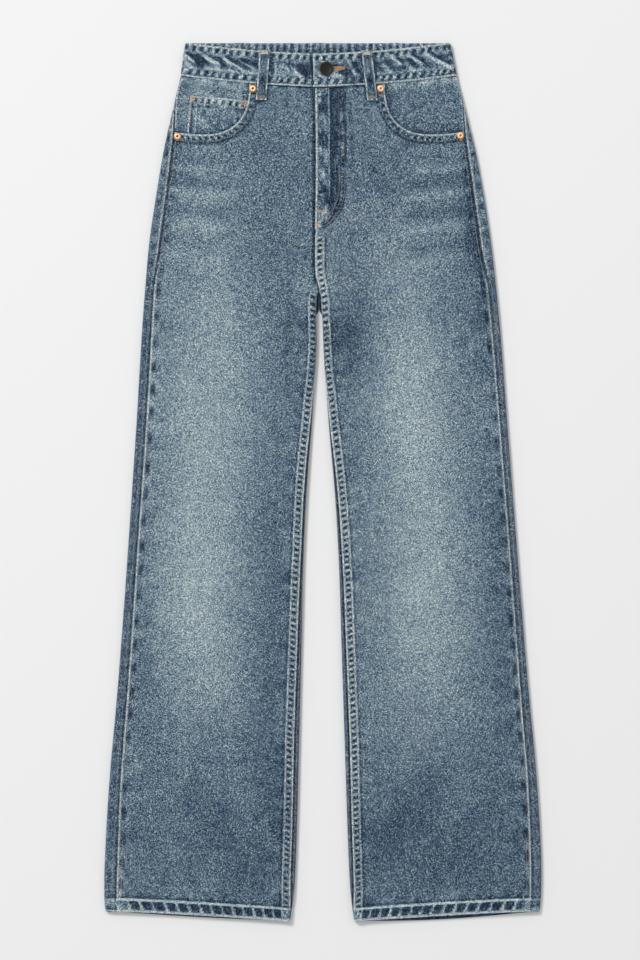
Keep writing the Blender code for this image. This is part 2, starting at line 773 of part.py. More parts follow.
def band_point(kind, value, row, face):
    """A point of the waistband, on its outer (0) or inner (1) face."""
    lift = -BAND_CLOTH if face else 0.0
    sink = BAND_CLOTH if face else 0.0
    along_band = BAND_ROWS[row] * MM
    if kind in SIDES.values():
        side = 1 if kind == "left" else -1
        rise = USUAL_HEIGHT + BAND_RISE
        quarter = quarter_length(rise, BAND_RADIUS)
        turn = 1 - 2 * value / BAND_FOLD_STEPS
        arc = quarter * (turn if side > 0 else -turn)
        inside, height = fold_point(arc, rise, lift, sink, BAND_RADIUS)
        down = along_band
        x = middle(down) + side * (half_width(down) - inside)
        return place(x, down, height)
    x = value * MM
    shown = band_x(x, along_band)
    if kind == "back":
        return place(shown, along_band, sink + (raised_inside(x, 0.0) if face else 0.0))
    down = band_dip(x) + along_band
    height = band_height(shown) + lift
    if kind == "under":
        height -= BAND_CLOTH + SEAM_GAP
    return place(shown, down, height)


def waistband(parts, cutters):
    columns = band_columns()
    grids = ([], [])
    for face, grid in enumerate(grids):
        for row in range(len(BAND_ROWS)):
            grid.append([band_point(kind, value, row, face) for kind, value in columns])
    band = add_wall(parts, "waistband", grids[0], grids[1])
    eye = [math.radians(angle) for angle in range(0, 360, 20)]
    turn = [(EYE_X + EYE_RADIUS * math.cos(a), BUTTON_DOWN - EYE_RADIUS * math.sin(a)) for a in eye]
    floor = band_height(EYE_X) - BAND_CLOTH - SEAM_GAP / 2
    cut(band, cutters, "buttonhole_eye", turn, floor, 20 * MM)
    low, high = BUTTON_DOWN - SLIT_WIDTH / 2, BUTTON_DOWN + SLIT_WIDTH / 2
    end = EYE_X + SLIT_LENGTH
    slit = [(EYE_X + MM, low), (end, low), (end, high), (EYE_X + MM, high)]
    cut(band, cutters, "buttonhole_slit", slit, floor, 20 * MM)
    return band


# Small pieces


def fly_facing(parts):
    outer, inner = [], []
    steps = 14
    for i in range(steps + 1):
        share = i / steps
        row = []
        for j in range(6):
            down = mix(62 * MM, FLY_END_DOWN - 1.5 * MM, share)
            width = FLY_WIDTH
            if down > FLY_STRAIGHT_DOWN:
                turned = (down - FLY_STRAIGHT_DOWN) / (FLY_END_DOWN - FLY_STRAIGHT_DOWN)
                width *= math.sqrt(1 - turned * turned)
            x = along(FLY_EDGE, down, 1) + SEAM_GAP * 0.7 + width * j / 5
            if i == 0:
                down = waist_seam(x) + SEAM_GAP
            row.append((x, down, front_height(x, down) + FLY_RISE - CLOTH - SEAM_GAP))
        outer.append([place(x, down, height) for x, down, height in row])
        inner.append([place(x, down, height - CLOTH) for x, down, height in row])
    return add_wall(parts, "fly_facing", outer, inner, FACING)


def facing_drop(side, x, down):
    """How far a pocket facing's outer face lies below the front panel's."""
    away = abs(x - POCKET_MIDDLE_X)
    inside = min(pocket_curve(away) - down, away - POCKET_NEAR)
    drop = mix(CLOTH + SEAM_GAP, SEAM_GAP, ease(inside, 6 * MM, 20 * MM))
    if side < 0:
        low = COIN_CLOTH + SEAM_GAP
        beside = 1 - ease(COIN_LEFT_X - x, 11 * MM, 16 * MM)
        below = ease(down - coin_top(x), -14 * MM, -8 * MM)
        drop = max(drop, (CLOTH + SEAM_GAP + low) * beside * below)
    return drop


FACING_COLUMNS = [71.8, 75.0, 79.0, 84.0, 91.0, 100.0, 111.0, 123.0, 136.0, 148.0, 155.0]
FACING_SEAM_COLUMNS = [8.0, 5.0, 2.5, 0.3]
FACING_ROWS = 12


def facing_pair(side, column, share):
    if column < len(FACING_COLUMNS):
        away = FACING_COLUMNS[column] * MM
        x = POCKET_MIDDLE_X + side * away
        top = waist_seam(x) + SEAM_GAP
        down = mix(top, pocket_curve(away, FACING_UNDER), share)
        height = front_height(x, down) - facing_drop(side, x, down)
        return place(x, down, height), place(x, down, height - CLOTH)
    offset = FACING_SEAM_COLUMNS[column - len(FACING_COLUMNS)] * MM
    top = waist_seam(middle(45 * MM) + side * (WAIST_HALF - offset)) + SEAM_GAP
    down = mix(top, pocket_curve(POCKET_SIDE, FACING_UNDER), share)
    arc = outseam_arc(side, down) + offset
    flat_x = middle(down) + side * (half_width(down) - along(BODY, down, 3) - offset)
    drop = facing_drop(side, flat_x, down)
    return outer_fold(side, down, arc, -drop, 0.0), outer_fold(side, down, arc, -drop - CLOTH, 0.0)


def pocket_facing(parts, side):
    columns = len(FACING_COLUMNS) + len(FACING_SEAM_COLUMNS)
    outer, inner = [], []
    for i in range(FACING_ROWS + 1):
        pairs = [facing_pair(side, column, i / FACING_ROWS) for column in range(columns)]
        outer.append([pair[0] for pair in pairs])
        inner.append([pair[1] for pair in pairs])
    return add_wall(parts, f"pocket_facing_{SIDES[side]}", outer, inner, FACING)


def coin_pocket(parts):
    outer, inner = [], []
    for i in range(7):
        row = []
        for j in range(8):
            x = mix(COIN_LEFT_X - 4 * MM * i / 6, COIN_RIGHT_X, j / 7)
            down = mix(coin_top(x), COIN_END_DOWN, i / 6)
            height = front_height(x, down) - CLOTH - SEAM_GAP
            row.append((x, down, height))
        outer.append([place(x, down, height) for x, down, height in row])
        inner.append([place(x, down, height - COIN_CLOTH) for x, down, height in row])
    return add_wall(parts, "coin_pocket", outer, inner)


def back_pocket_outline(side, grown):
    """The pocket's (x, down) corners: wide at the top, narrower below, with a point."""
    centre = middle(BACK_POCKET_TOP) + side * BACK_POCKET_AWAY
    wide = BACK_POCKET_WIDTH / 2 + grown
    narrow = wide - BACK_POCKET_TAPER
    top, end = BACK_POCKET_TOP - grown, BACK_POCKET_END + grown
    corner = end - BACK_POCKET_POINT
    upper = [(centre - wide, top), (centre + wide, top)]
    return upper + [(centre + narrow, corner), (centre, end), (centre - narrow, corner)]


def back_pocket(parts, cutters, side, panel):
    name = f"back_pocket_{SIDES[side]}"
    pocket = add_prism(parts, name, back_pocket_outline(side, 0.0), 0.0, CLOTH, DENIM)
    cut(panel, cutters, name + "_bed", back_pocket_outline(side, SEAM_GAP), -MM, CLOTH + SEAM_GAP)
    return pocket


def back_loop(parts, cutters, where, beds):
    x = middle(0.0) + BACK_LOOP_AWAY[where]
    name = f"belt_loop_back_{where}"

    def outline(grown):
        half = LOOP_WIDTH / 2 + grown
        top, end = (0.0, BACK_LOOP_END) if grown == 0.0 else (-5 * MM, BACK_LOOP_END + grown)
        return [(x - half, top), (x + half, top), (x + half, end), (x - half, end)]

    loop = add_prism(parts, name, outline(0.0), 0.0, LOOP_CLOTH, DENIM)
    for bed in beds:
        cut(bed, cutters, f"{name}_{bed.name}_bed", outline(SEAM_GAP), -MM, LOOP_CLOTH + SEAM_GAP)
    return loop


def front_loop(parts, where):
    """A belt loop over the front waistband, from its top edge down onto the front panel."""
    x0, down0, x1, down1 = FRONT_LOOPS[where]
    outer, inner = [], []
    band_end = waist_seam((x0 + x1) / 2 * MM)
    downs = [down0 * MM, down0 * MM + 12 * MM]
    downs += [band_end + offset * MM for offset in (-14.0, 0.5, 3.0, 6.0, 9.0)]
    downs += [mix(band_end, down1 * MM, 0.75), down1 * MM]
    for down in downs:
        share = (down / MM - down0) / (down1 - down0)
        row = []
        for across in (-0.5, -0.25, 0.25, 0.5):
            x = mix(x0, x1, share) * MM + across * LOOP_WIDTH
            low = ease(down, band_end + 0.5 * MM, band_end + 8 * MM)
            height = mix(band_height(x), front_height(x, down), low) + 1.5 * SEAM_GAP
            row.append((x, down, height))
        outer.append([place(x, down, height + LOOP_CLOTH) for x, down, height in row])
        inner.append([place(x, down, height) for x, down, height in row])
    return add_wall(parts, f"belt_loop_front_{where}", outer, inner)


def button(parts):
    face = BUTTON_HEIGHT / MM
    radius, neck = BUTTON_RADIUS / MM, NECK_RADIUS / MM
    below = -(BAND_CLOTH - SEAM_GAP) / MM
    profile = [(0.0, face - 0.5), (radius * 0.62, face - 0.5), (radius * 0.7, face - 0.1)]
    profile += [(radius * 0.86, face), (radius * 0.96, face - 0.4), (radius, face - 1.1)]
    profile += [(radius * 0.94, face - 1.9), (radius * 0.75, 0.4), (neck, 0.4)]
    profile += [(neck, below), (0.0, below)]
    centre = place(EYE_X, BUTTON_DOWN, band_height(EYE_X))
    return add_turned(parts, "waist_button", centre, profile, 32, BLACK_METAL, 0.5)


def rivet(parts, where):
    x, down = (value * MM for value in RIVETS[where])
    around = [(x + a * RIVET_RADIUS, down + b * RIVET_RADIUS) for a in (-1, 0, 1) for b in (-1, 0, 1)]
    seat = max(front_height(px, pd) for px, pd in around) + POCKET_EDGE_RISE + SEAM_GAP / 2
    radius, height = RIVET_RADIUS / MM, RIVET_HEIGHT / MM
    profile = [(0.0, height * 0.75), (radius * 0.3, height * 0.75), (radius * 0.42, height)]
    profile += [(radius * 0.7, height * 0.9), (radius, height * 0.35), (radius, 0.0), (0.0, 0.0)]
    return add_turned(parts, f"rivet_{where}", place(x, down, seat), profile, 20, COPPER, 0.4)


def build():
    parts, cutters = start_scene()
    band = waistband(parts, cutters)
    yokes, backs = {}, {}
    for side in SIDES:
        front_panel(parts, side)
        backs[side] = back_panel(parts, side)
        yokes[side] = yoke(parts, side)
        pocket_facing(parts, side)
        back_pocket(parts, cutters, side, backs[side])
    fly_facing(parts)
    coin_pocket(parts)
    back_loop(parts, cutters, "right", [band, yokes[-1]])
    back_loop(parts, cutters, "left", [band, yokes[1]])
    back_loop(parts, cutters, "centre", [band, yokes[-1], yokes[1]])
    for where in FRONT_LOOPS:
        front_loop(parts, where)
    button(parts)
    for where in RIVETS:
        rivet(parts, where)


build()
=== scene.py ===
import math
import bpy
import bmesh
import numpy as np
from mathutils import Matrix, Vector


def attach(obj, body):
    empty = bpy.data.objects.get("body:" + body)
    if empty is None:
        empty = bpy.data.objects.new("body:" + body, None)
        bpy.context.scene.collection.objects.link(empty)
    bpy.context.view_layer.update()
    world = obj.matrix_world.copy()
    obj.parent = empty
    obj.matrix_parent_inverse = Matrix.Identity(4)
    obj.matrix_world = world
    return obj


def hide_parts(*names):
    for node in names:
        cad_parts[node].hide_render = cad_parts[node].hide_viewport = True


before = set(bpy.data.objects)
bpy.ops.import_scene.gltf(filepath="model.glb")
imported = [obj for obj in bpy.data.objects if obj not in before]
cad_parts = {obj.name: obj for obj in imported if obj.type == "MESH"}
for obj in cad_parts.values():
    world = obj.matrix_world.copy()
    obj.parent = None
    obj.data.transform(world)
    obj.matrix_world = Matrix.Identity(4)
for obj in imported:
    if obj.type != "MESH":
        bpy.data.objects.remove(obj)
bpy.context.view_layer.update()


# Everything below is in millimetres until a mesh is made. "down" is the distance below the
# back waistband's top edge; x points to the wearer's left. These sizes are the CAD part's own.
length = 1071.6
bandHeight = 40.3
frontDip = 13.8  # how far the front's top edge hangs below the back's
waistHalf = 162.0
cloth = 1.2  # one layer of denim
bandCloth = 2.0
seamGap = 0.3
foldRadius = 3.4
bandRadius = 3.9
usualHeight = 5.5  # of the front's outer face above the surface
bandRise = 0.9
bandFlyRise = 2.6
bandEndX = -11.3  # the band's upper end
underlap = 36.0
eyeX = 4.9  # middle of the button and of the keyhole's eye
buttonDown = 32.5
frontCrotch = 303.0
backCrotch = 334.0
flyStraight = 176.0  # where the fly's stitching starts to turn in
flyEnd = 236.0
flyWidth = 43.0
flyRise = 1.3
flyLap = 12.0
pocketMiddle = -6.3
pocketNear = 82.6  # from the pockets' middle to an opening's inner end
pocketFlat = 140.0  # and to the start of its level part
pocketSide = 178.0
pocketTop = 50.0
pocketDepth = 62.0
pocketLift = 3.5
pocketPower = 2.5
hemHeight = 16.0
hemRow = 12.6  # the hem's stitching below its upper edge
hemOuter = 1059.5
hemSlant = 12.0
hemBackDrop = {-1: 2.2, 1: 4.6}
backPocketAway = 101.0
backPocketTop = 139.0
backPocketEnd = 289.0
backPocketHalf = 66
backPocketTaper = 5
backPocketPoint = 22
yokeMiddle = 110.0
yokeSide = 70.0
loopHalf = 6.35
frontLoops = {"right": (-69.8, 9.3, -74.4, 70.3), "left": (54.0, 10.4, 61.1, 70.8)}  # upper and lower end
backLoops = {"right": -95.0, "centre": 0.0, "left": 95.0}
sides = {-1: "right", 1: "left"}

# down, middle of the outline, half width, distance of the outseam inside the outline
bodyTable = np.array([
    (0, -5.4, 161.9, 0), (45, -4.2, 169.6, 0), (66, -4, 174.8, 0.2),
    (95, -3.8, 181.6, 5.2), (118, -3.6, 187.2, 8.6), (143, -3.2, 192.4, 10.6),
    (192, -2.8, 200.8, 12.4), (240, -2.7, 208, 12.8), (289, -2.1, 213.1, 12.8),
    (350, -1.4, 218.4, 12.8), (460, -0.5, 225.9, 12.3), (570, 0.1, 233.8, 11.6),
    (680, 0.6, 242, 11.2), (789, 0.9, 250.7, 11.3), (899, 1.1, 260.7, 12.4),
    (991, 1, 266, 14), (1046, 0.4, 266.2, 13.8), (1074, 0.2, 262.4, 13),
])
# down, middle of the gap between the legs, half of that gap, distance of the inseam inside the fold
legTable = np.array([
    (303, -3.9, 0.6, 0), (309, -4, 2.9, 0), (316, -4, 3.4, 0), (334, -3.8, 3.6, 0),
    (350, -3.2, 4, 0), (368, -2.8, 4.2, 0), (400, -2.8, 5.9, 0), (433, -2.6, 8.4, 0.7),
    (460, -2.4, 10.2, 1.5), (523, -2, 15.2, 3.9), (570, -1.7, 18.5, 5),
    (643, -1.3, 22, 6), (734, -0.9, 24.4, 6.8), (844, -0.4, 27.5, 7),
    (954, 0, 30.7, 6.3), (1027, 0.1, 33.8, 5.6), (1050, 0, 36.2, 3),
    (1074, -0.2, 39.4, 1.2),
])
# down, x of the left front's edge
flyTable = np.array([
    (54, -9.1), (80, -8.5), (110, -8.1), (167, -8), (192, -8.3), (216, -8.8),
    (240, -8.7), (280, -8.3), (303, -3.9),
])
# down, shift of the side seam
sideSeams = {
    -1: np.array([
        (60, 0.4), (250, 0.6), (295, -2.4), (400, -1.2), (600, -0.6), (820, 0.6), (1050, 0.7)]),
    1: np.array([
        (60, 0.2), (250, 0.4), (295, -3.6), (400, -4.4), (600, -3.8), (820, -2.2), (1050, -2.5)]),
}
# down, shift of the inseam
inseams = {
    -1: np.array([(400, 0), (500, -0.4), (620, -2.9), (760, -1.7), (860, -0.8), (1060, -0.7)]),
    1: np.array([(400, 0), (500, -0.9), (620, -1.6), (760, -1.4), (860, -0.9), (1060, -1.1)]),
}
# x, down, reach across, reach lengthwise, rise
swells = [
    (-4, 150, 190, 150, 0.5), (-115, 78, 62, 50, 0.8), (105, 78, 62, 50, 0.8),
    (-140, 1064, 80, 60, 0.4), (150, 1062, 85, 70, 0.5),
]
# start x, start down, end x, end down, half width, rise
folds = [
    (-160, 905, -84, 1030, 19, -1.6), (-118, 880, -50, 1005, 17, 0.6),
    (-226, 1000, -168, 1006, 14, -0.8), (150, 880, 66, 1000, 19, -1.8),
    (186, 900, 110, 1010, 17, 0.6), (130, 1008, 200, 1018, 14, -0.9),
    (-24, 272, -80, 330, 15, -0.7), (20, 272, 76, 330, 15, -0.7),
]
# smaller creases: start x, start down, end x, end down, half width, rise
creases = [
    (-190, 150, -104, 158, 6, 0.30), (-194, 166, -96, 180, 6, -0.34),
    (-196, 186, -100, 196, 6, 0.28), (-198, 204, -92, 216, 6.5, -0.34),
    (-202, 224, -110, 236, 7, 0.24), (-204, 246, -120, 256, 7, -0.24),
    (186, 146, 98, 156, 6, 0.30), (190, 164, 88, 178, 6, -0.34),
    (192, 184, 96, 194, 6, 0.28), (196, 204, 86, 218, 6.5, -0.34),
    (198, 226, 104, 238, 7, 0.24), (200, 250, 110, 260, 7, -0.24),
    (-150, 700, -70, 735, 9, -0.28), (-176, 790, -96, 812, 9, -0.26),
    (176, 722, 92, 744, 9, -0.26), (196, 806, 104, 842, 10, -0.30),
    (-60, 340, -120, 420, 12, -0.26), (60, 340, 118, 420, 12, -0.26),
    (-212, 940, -172, 1012, 9, -0.36), (224, 936, 186, 1004, 9, -0.36),
]


# Curves, easing and repeatable noise


def curve(table, down, k):
    # A column of a table on a smooth curve through its rows
    at, value = table[:, 0], table[:, k]
    slope = np.zeros_like(value)
    slope[1:-1] = (value[2:] - value[:-2]) / (at[2:] - at[:-2])
    slope[0] = (value[1] - value[0]) / (at[1] - at[0])
    slope[-1] = (value[-1] - value[-2]) / (at[-1] - at[-2])
    down = np.clip(np.asarray(down, float), at[0], at[-1])
    i = np.clip(np.searchsorted(at, down, side="right") - 1, 0, len(at) - 2)
    step = at[i + 1] - at[i]
    t = (down - at[i]) / step
    return (
        (2 * t**3 - 3 * t**2 + 1) * value[i] + (t**3 - 2 * t**2 + t) * step * slope[i]
        + (3 * t**2 - 2 * t**3) * value[i + 1] + (t**3 - t**2) * step * slope[i + 1]
    )


def ease(value, low, high):
    t = np.clip((np.asarray(value, float) - low) / (high - low), 0.0, 1.0)
    return t * t * (3 - 2 * t)


def mix(a, b, share):
    return a + (b - a) * share


def line(value, centre, width):
    # A soft line across one value
    return np.exp(-(((value - centre) / width) ** 2))


def between(value, start, full, wane, end):
    # 1 from full to wane, easing to 0 at start and end
    return ease(value, start, full) * (1 - ease(value, wane, end))


def fading(value, reach):
    # 1 up to 0, dying away beyond it
    return np.exp(-np.maximum(value, 0) / reach)


def noise(x, y, seed):
    # Smooth repeatable noise from -1 to 1 with one feature a unit
    x, y = np.broadcast_arrays(np.asarray(x, float), np.asarray(y, float))
    i, j = np.floor(x), np.floor(y)
    fx, fy = x - i, y - j
    fx, fy = fx * fx * (3 - 2 * fx), fy * fy * (3 - 2 * fy)

    def corner(a, b):
        value = np.sin(a * 127.1 + b * 311.7 + seed * 74.7) * 43758.5453
        return (value - np.floor(value)) * 2 - 1

    low = mix(corner(i, j), corner(i + 1, j), fx)
    high = mix(corner(i, j + 1), corner(i + 1, j + 1), fx)
    return mix(low, high, fy)


def middle(down):
    return curve(bodyTable, down, 1)


def halfWidth(down):
    return curve(bodyTable, down, 2)


def outseamInset(side, down):
    table = sideSeams[side]
    return np.maximum(curve(bodyTable, down, 3) + np.interp(down, table[:, 0], table[:, 1]), 0.0)


def inseamInset(side, down):
    table = inseams[side]
    return np.maximum(curve(legTable, down, 3) + np.interp(down, table[:, 0], table[:, 1]), 0.0)


def legEdge(side, down):
    # Distance of a leg's inner fold from the middle of the outline
    return side * (curve(legTable, down, 1) - middle(down)) + curve(legTable, down, 2)


def frontClosing(down):
    return ease(down, frontCrotch - 12, frontCrotch)


def backClosing(down):
    return ease(down, backCrotch - 9, backCrotch)


def frontEdge(side, down):
    fly = side * (curve(flyTable, down, 1) - middle(down))
    return mix(fly, legEdge(side, down), frontClosing(down))


def backEdge(side, down):
    return mix(side * (curve(legTable, down, 1) - middle(down)) * ease(down, 250, 320) + 0.15,
               legEdge(side, down), backClosing(down))


def bandDip(x):
    away = np.minimum(np.abs(x - middle(0.0)) / waistHalf, 1.0)
    return frontDip * (1 - away**1.5)


def bandX(x, down):
    return middle(down) + (x - middle(0.0)) * halfWidth(down) / halfWidth(0.0)


def waistSeam(x):
    return bandDip(middle(0.0) + (x - middle(bandHeight)) * halfWidth(0.0) / halfWidth(bandHeight)) + bandHeight


def pocketCurve(away, grown=0.0):
    away = np.asarray(away, float)
    share = np.minimum(np.maximum(pocketFlat - away, 0.0) / (pocketFlat - pocketNear + grown), 1.0)
    outer = np.maximum(away - pocketFlat, 0.0) / (pocketSide - pocketFlat)
    return pocketTop + (pocketDepth + grown) * (1 - share**pocketPower) ** (1 / pocketPower) - pocketLift * outer**2


def pocketDistance(x, down):
    # Distance of a place from a pocket opening's edge, above 0 on the front panel
    away = np.abs(x - pocketMiddle)
    wide = pocketFlat - pocketNear
    a, b = np.maximum(pocketFlat - away, 0.0) / wide, np.maximum(down - pocketTop, 0.0) / pocketDepth
    total = a**pocketPower + b**pocketPower + 1e-9
    value = total ** (1 / pocketPower)
    lean = total ** (1 / pocketPower - 1)
    steep = lean * np.hypot(a ** (pocketPower - 1) / wide, b ** (pocketPower - 1) / pocketDepth) + 1e-6
    return np.where(away < pocketFlat, (value - 1) / steep, down - pocketCurve(away))


def pocketAlong(x, down):
    # Rough distance along a pocket opening, from its top at the waist seam
    away = np.abs(x - pocketMiddle)
    across = np.maximum(pocketFlat - away, 0.0) / (pocketFlat - pocketNear)
    angle = np.arctan2((down - pocketTop) / pocketDepth, across)
    return 59.7 * angle + np.maximum(away - pocketFlat, 0.0)


def pocketBow(angle):
    # (distances from the pockets' middle, distances down) round the curved part of an opening
    bend = 2 / pocketPower
    away = pocketFlat - (pocketFlat - pocketNear) * np.cos(angle) ** bend
    return away, pocketTop + pocketDepth * np.sin(angle) ** bend


def hemLine(inward):
    # Lower edge of the front hem, from the outer fold, 0, to the inner fold, 1
    return hemOuter + hemSlant * np.clip(inward, 0.0, 1.0) ** 1.3


def strokes(x, down, table):
    # Sum of soft strokes; a table row is start x, start down, end x, end down, half width, strength
    total = np.zeros(np.broadcast(x, down).shape)
    for x0, down0, x1, down1, spread, strength in table:
        dx, dd = x1 - x0, down1 - down0
        run = math.hypot(dx, dd)
        share = ((x - x0) * dx + (down - down0) * dd) / run**2
        off = ((x - x0) * dd - (down - down0) * dx) / run / spread
        beyond = np.maximum(np.abs(share - 0.5) - 0.35, 0.0) * run / (1.6 * spread)
        total += strength * np.exp(-off * off - beyond * beyond)
    return total


def softSpots(x, down, table):
    # Sum of soft spots; a table row is x, down, reach across, reach lengthwise, strength
    total = np.zeros(np.broadcast(x, down).shape)
    for spotX, spotDown, across, lengthwise, strength in table:
        total += strength * np.exp(-(((x - spotX) / across) ** 2) - ((down - spotDown) / lengthwise) ** 2)
    return total


def frontHeight(x, down):
    x, down = np.broadcast_arrays(np.asarray(x, float), np.asarray(down, float))
    height = usualHeight + softSpots(x, down, swells)
    height += strokes(x, down, folds) + strokes(x, down, creases)
    return height + 0.16 * noise(x / 34, down / 46, 3) + 0.08 * noise(x / 13, down / 17, 4)


def bandTop(x):
    return usualHeight + bandRise + bandFlyRise * (1 - ease(np.abs(x - eyeX + 4), 28, 78))


def quarterLength(rise, radius=foldRadius):
    return math.pi / 2 * np.sqrt((radius**2 + (rise / 2) ** 2) / 2)


def foldPoint(arc, rise, lift, sink, radius=foldRadius):
    # (distance inside the outline, height) at a distance along the cloth from a fold's outermost line
    quarter = quarterLength(rise, radius)
    angle = np.clip(arc / quarter, -1, 1) * math.pi / 2
    out = mix(-sink, lift, (1 + np.sin(angle)) / 2)
    inside = radius - (radius + out) * np.cos(angle) + np.maximum(np.abs(arc) - quarter, 0.0)
    return inside, rise / 2 + (rise / 2 + out) * np.sin(angle)


def arcOf(inset, rise):
    quarter = quarterLength(rise)
    near = quarter * np.arccos(1 - np.clip(inset, 0, foldRadius) / foldRadius) * 2 / math.pi
    return np.where(inset >= foldRadius, quarter + inset - foldRadius, near)


def rimRise(side, down, edge):
    return frontHeight(middle(down) + side * edge, down)


def outerFold(side, down, arc, lift, sink):
    # Points of the cloth near the outer fold
    rise = rimRise(side, down, halfWidth(down) - foldRadius)
    quarter = quarterLength(rise)
    inside, height = foldPoint(arc, rise, lift, sink)
    x = middle(down) + side * (halfWidth(down) - inside)
    height = np.where(arc > quarter, frontHeight(x, down) + lift, np.where(arc < -quarter, sink, height))
    return x, down, height


def innerFold(side, down, edge, shut, arc, lift, sink):
    # Points of the cloth near a leg's inner fold, or near the middle above the crotch
    rise = rimRise(side, down, edge + foldRadius)
    quarter = quarterLength(rise)
    inside, height = foldPoint(arc, rise, lift, sink)
    x = middle(down) + side * (edge + mix(np.abs(arc), inside, shut))
    flat = frontHeight(x, down) + lift
    height = np.where(arc > quarter, flat, mix(np.where(arc > 0, flat, sink), height, shut))
    return x, down, np.where(arc < -quarter, sink, height)


def inseamArc(side, down):
    return arcOf(inseamInset(side, down), rimRise(side, down, legEdge(side, down) + foldRadius))


def outseamArc(side, down):
    return arcOf(outseamInset(side, down), rimRise(side, down, halfWidth(down) - foldRadius))


# Meshes


def faceGrid(rows, columns, start=0):
    index = np.arange(rows * columns).reshape(rows, columns) + start
    quads = np.stack([index[:-1, :-1], index[:-1, 1:], index[1:, 1:], index[1:, :-1]], -1)
    return index, quads.reshape(-1, 4)


def thinned(count, step):
    return sorted(set(list(range(0, count, step)) + [count - 1]))


def addShell(name, outer, inner, material, shade, insideShade=None, step=4):
    # A closed wall: the full outer grid, the inner grid with every few points, joined round the border
    rows, columns = outer.shape[:2]
    top, faces = faceGrid(rows, columns)
    keepRows, keepColumns = thinned(rows, step), thinned(columns, step)
    low, lowQuads = faceGrid(len(keepRows), len(keepColumns), rows * columns)
    faces = faces.tolist() + lowQuads[:, ::-1].tolist()
    kept = np.ix_(keepRows, keepColumns)
    place = dict(zip(top[kept].ravel().tolist(), low.ravel().tolist()))
    loop = np.concatenate([top[0], top[1:, -1], top[-1, -2::-1], top[-2:0:-1, 0]]).tolist()
    stops = [k for k, key in enumerate(loop) if key in place]
    for a, b in zip(stops, stops[1:] + [len(loop)]):
        run = [loop[k % len(loop)] for k in range(a, b + 1)]
        faces.append(run[::-1] + [place[run[0]], place[run[-1]]])
    if insideShade is None:
        insideShade = np.full((rows, columns), 0.62)
    points = np.concatenate([outer.reshape(-1, 3), inner[kept].reshape(-1, 3)])
    shades = np.concatenate([shade.reshape(-1), insideShade[kept].reshape(-1)])
    return addMesh(name, points, faces, material, shades)


def newObject(name, data):
    obj = bpy.data.objects.new(name, data)
    bpy.context.scene.collection.objects.link(obj)
    return obj


def keepEvaluated(obj):
    # Makes the result of an object's modifiers its plain mesh
    graph = bpy.context.evaluated_depsgraph_get()
    mesh = bpy.data.meshes.new_from_object(obj.evaluated_get(graph), depsgraph=graph)
    obj.modifiers.clear()
    obj.data = mesh


def addMesh(name, points, faces, material, shade):
    mesh = bpy.data.meshes.new(name)
    mesh.from_pydata((points * 0.001).tolist(), [], faces)
    bm = bmesh.new()
    bm.from_mesh(mesh)
    bmesh.ops.recalc_face_normals(bm, faces=bm.faces)
    bm.to_mesh(mesh)
    bm.free()
    mesh.materials.append(material)
    mesh.shade_smooth()
    mesh.set_sharp_from_angle(angle=math.radians(60))
    values = mesh.attributes.new("tone", "FLOAT", "POINT")
    values.data.foreach_set("value", np.clip(shade, 0, 1).astype(np.float32))
    return newObject(name, mesh)


def toPoints(x, down, height):
    x, down, height = np.broadcast_arrays(x, down, height)
    return np.stack([x, length / 2 - down, height], -1)


# Materials


def shader(name, roughness, metallic=0.0, colour=(0.5, 0.5, 0.5)):
    material = bpy.data.materials.new(name)
    material.use_nodes = True
    tree = material.node_tree
    principled = tree.nodes["Principled BSDF"]
    principled.inputs["Base Color"].default_value = (*colour, 1)
    principled.inputs["Roughness"].default_value = roughness
    principled.inputs["Metallic"].default_value = metallic
    return material, tree, principled


def shown(red, green, blue):
    # A colour given as it shows on a screen, 0 to 255
    return tuple(((value / 255 + 0.055) / 1.055) ** 2.4 for value in (red, green, blue))


def addNode(tree, kind, inputs):
    # A node whose inputs are set to values or linked from other nodes' outputs
    node = tree.nodes.new(kind)
    for socket, value in inputs.items():
        if isinstance(value, bpy.types.NodeSocket):
            tree.links.new(value, node.inputs[socket])
        else:
            node.inputs[socket].default_value = value
    return node


def mathNode(tree, operation, first, second):
    node = addNode(tree, "ShaderNodeMath", {0: first, 1: second})
    node.operation = operation
    return node.outputs[0]


def noiseNode(tree, place, scale, detail, roughness, distortion=0.0):
    inputs = {"Vector": place, "Scale": scale, "Detail": detail, "Roughness": roughness, "Distortion": distortion}
    return addNode(tree, "ShaderNodeTexNoise", inputs).outputs["Fac"]


def toneOf(tree):
    # The tone kept at each point of a piece
    node = tree.nodes.new("ShaderNodeAttribute")
    node.attribute_name = "tone"
    return node.outputs["Fac"]


def colourBy(tree, principled, value, stops):
    # Colours a material by a value; a stop is its place and the colour as it shows on a screen
    ramp = tree.nodes.new("ShaderNodeValToRGB")
    for k, (at, colour) in enumerate(stops):
        stop = ramp.color_ramp.elements[k] if k < 2 else ramp.color_ramp.elements.new(at)
        stop.position = at
        stop.color = (*shown(*colour), 1)
    tree.links.new(value, ramp.inputs["Fac"])
    tree.links.new(ramp.outputs["Color"], principled.inputs["Base Color"])


denimLook = {
    "roughness": 0.92, "sheen": 0.1, "sheenRoughness": 0.6, "specular": 0.2,  # of the cloth
    "fibres": 0.80, "coarse": 0.24, "fine": 2.9, "cloud": 0.10,  # strength of each part of the grain
    "ribs": 260, "ribAngle": 62, "relief": 0.5,
}
denimRamp = [
    (0, (0, 7, 22)), (0.18, (3, 38, 75)), (0.35, (13, 67, 113)), (0.5, (38, 95, 145)),
    (0.65, (80, 132, 167)), (0.8, (132, 175, 188)), (0.9, (185, 211, 208)), (1, (242, 247, 234)),
]


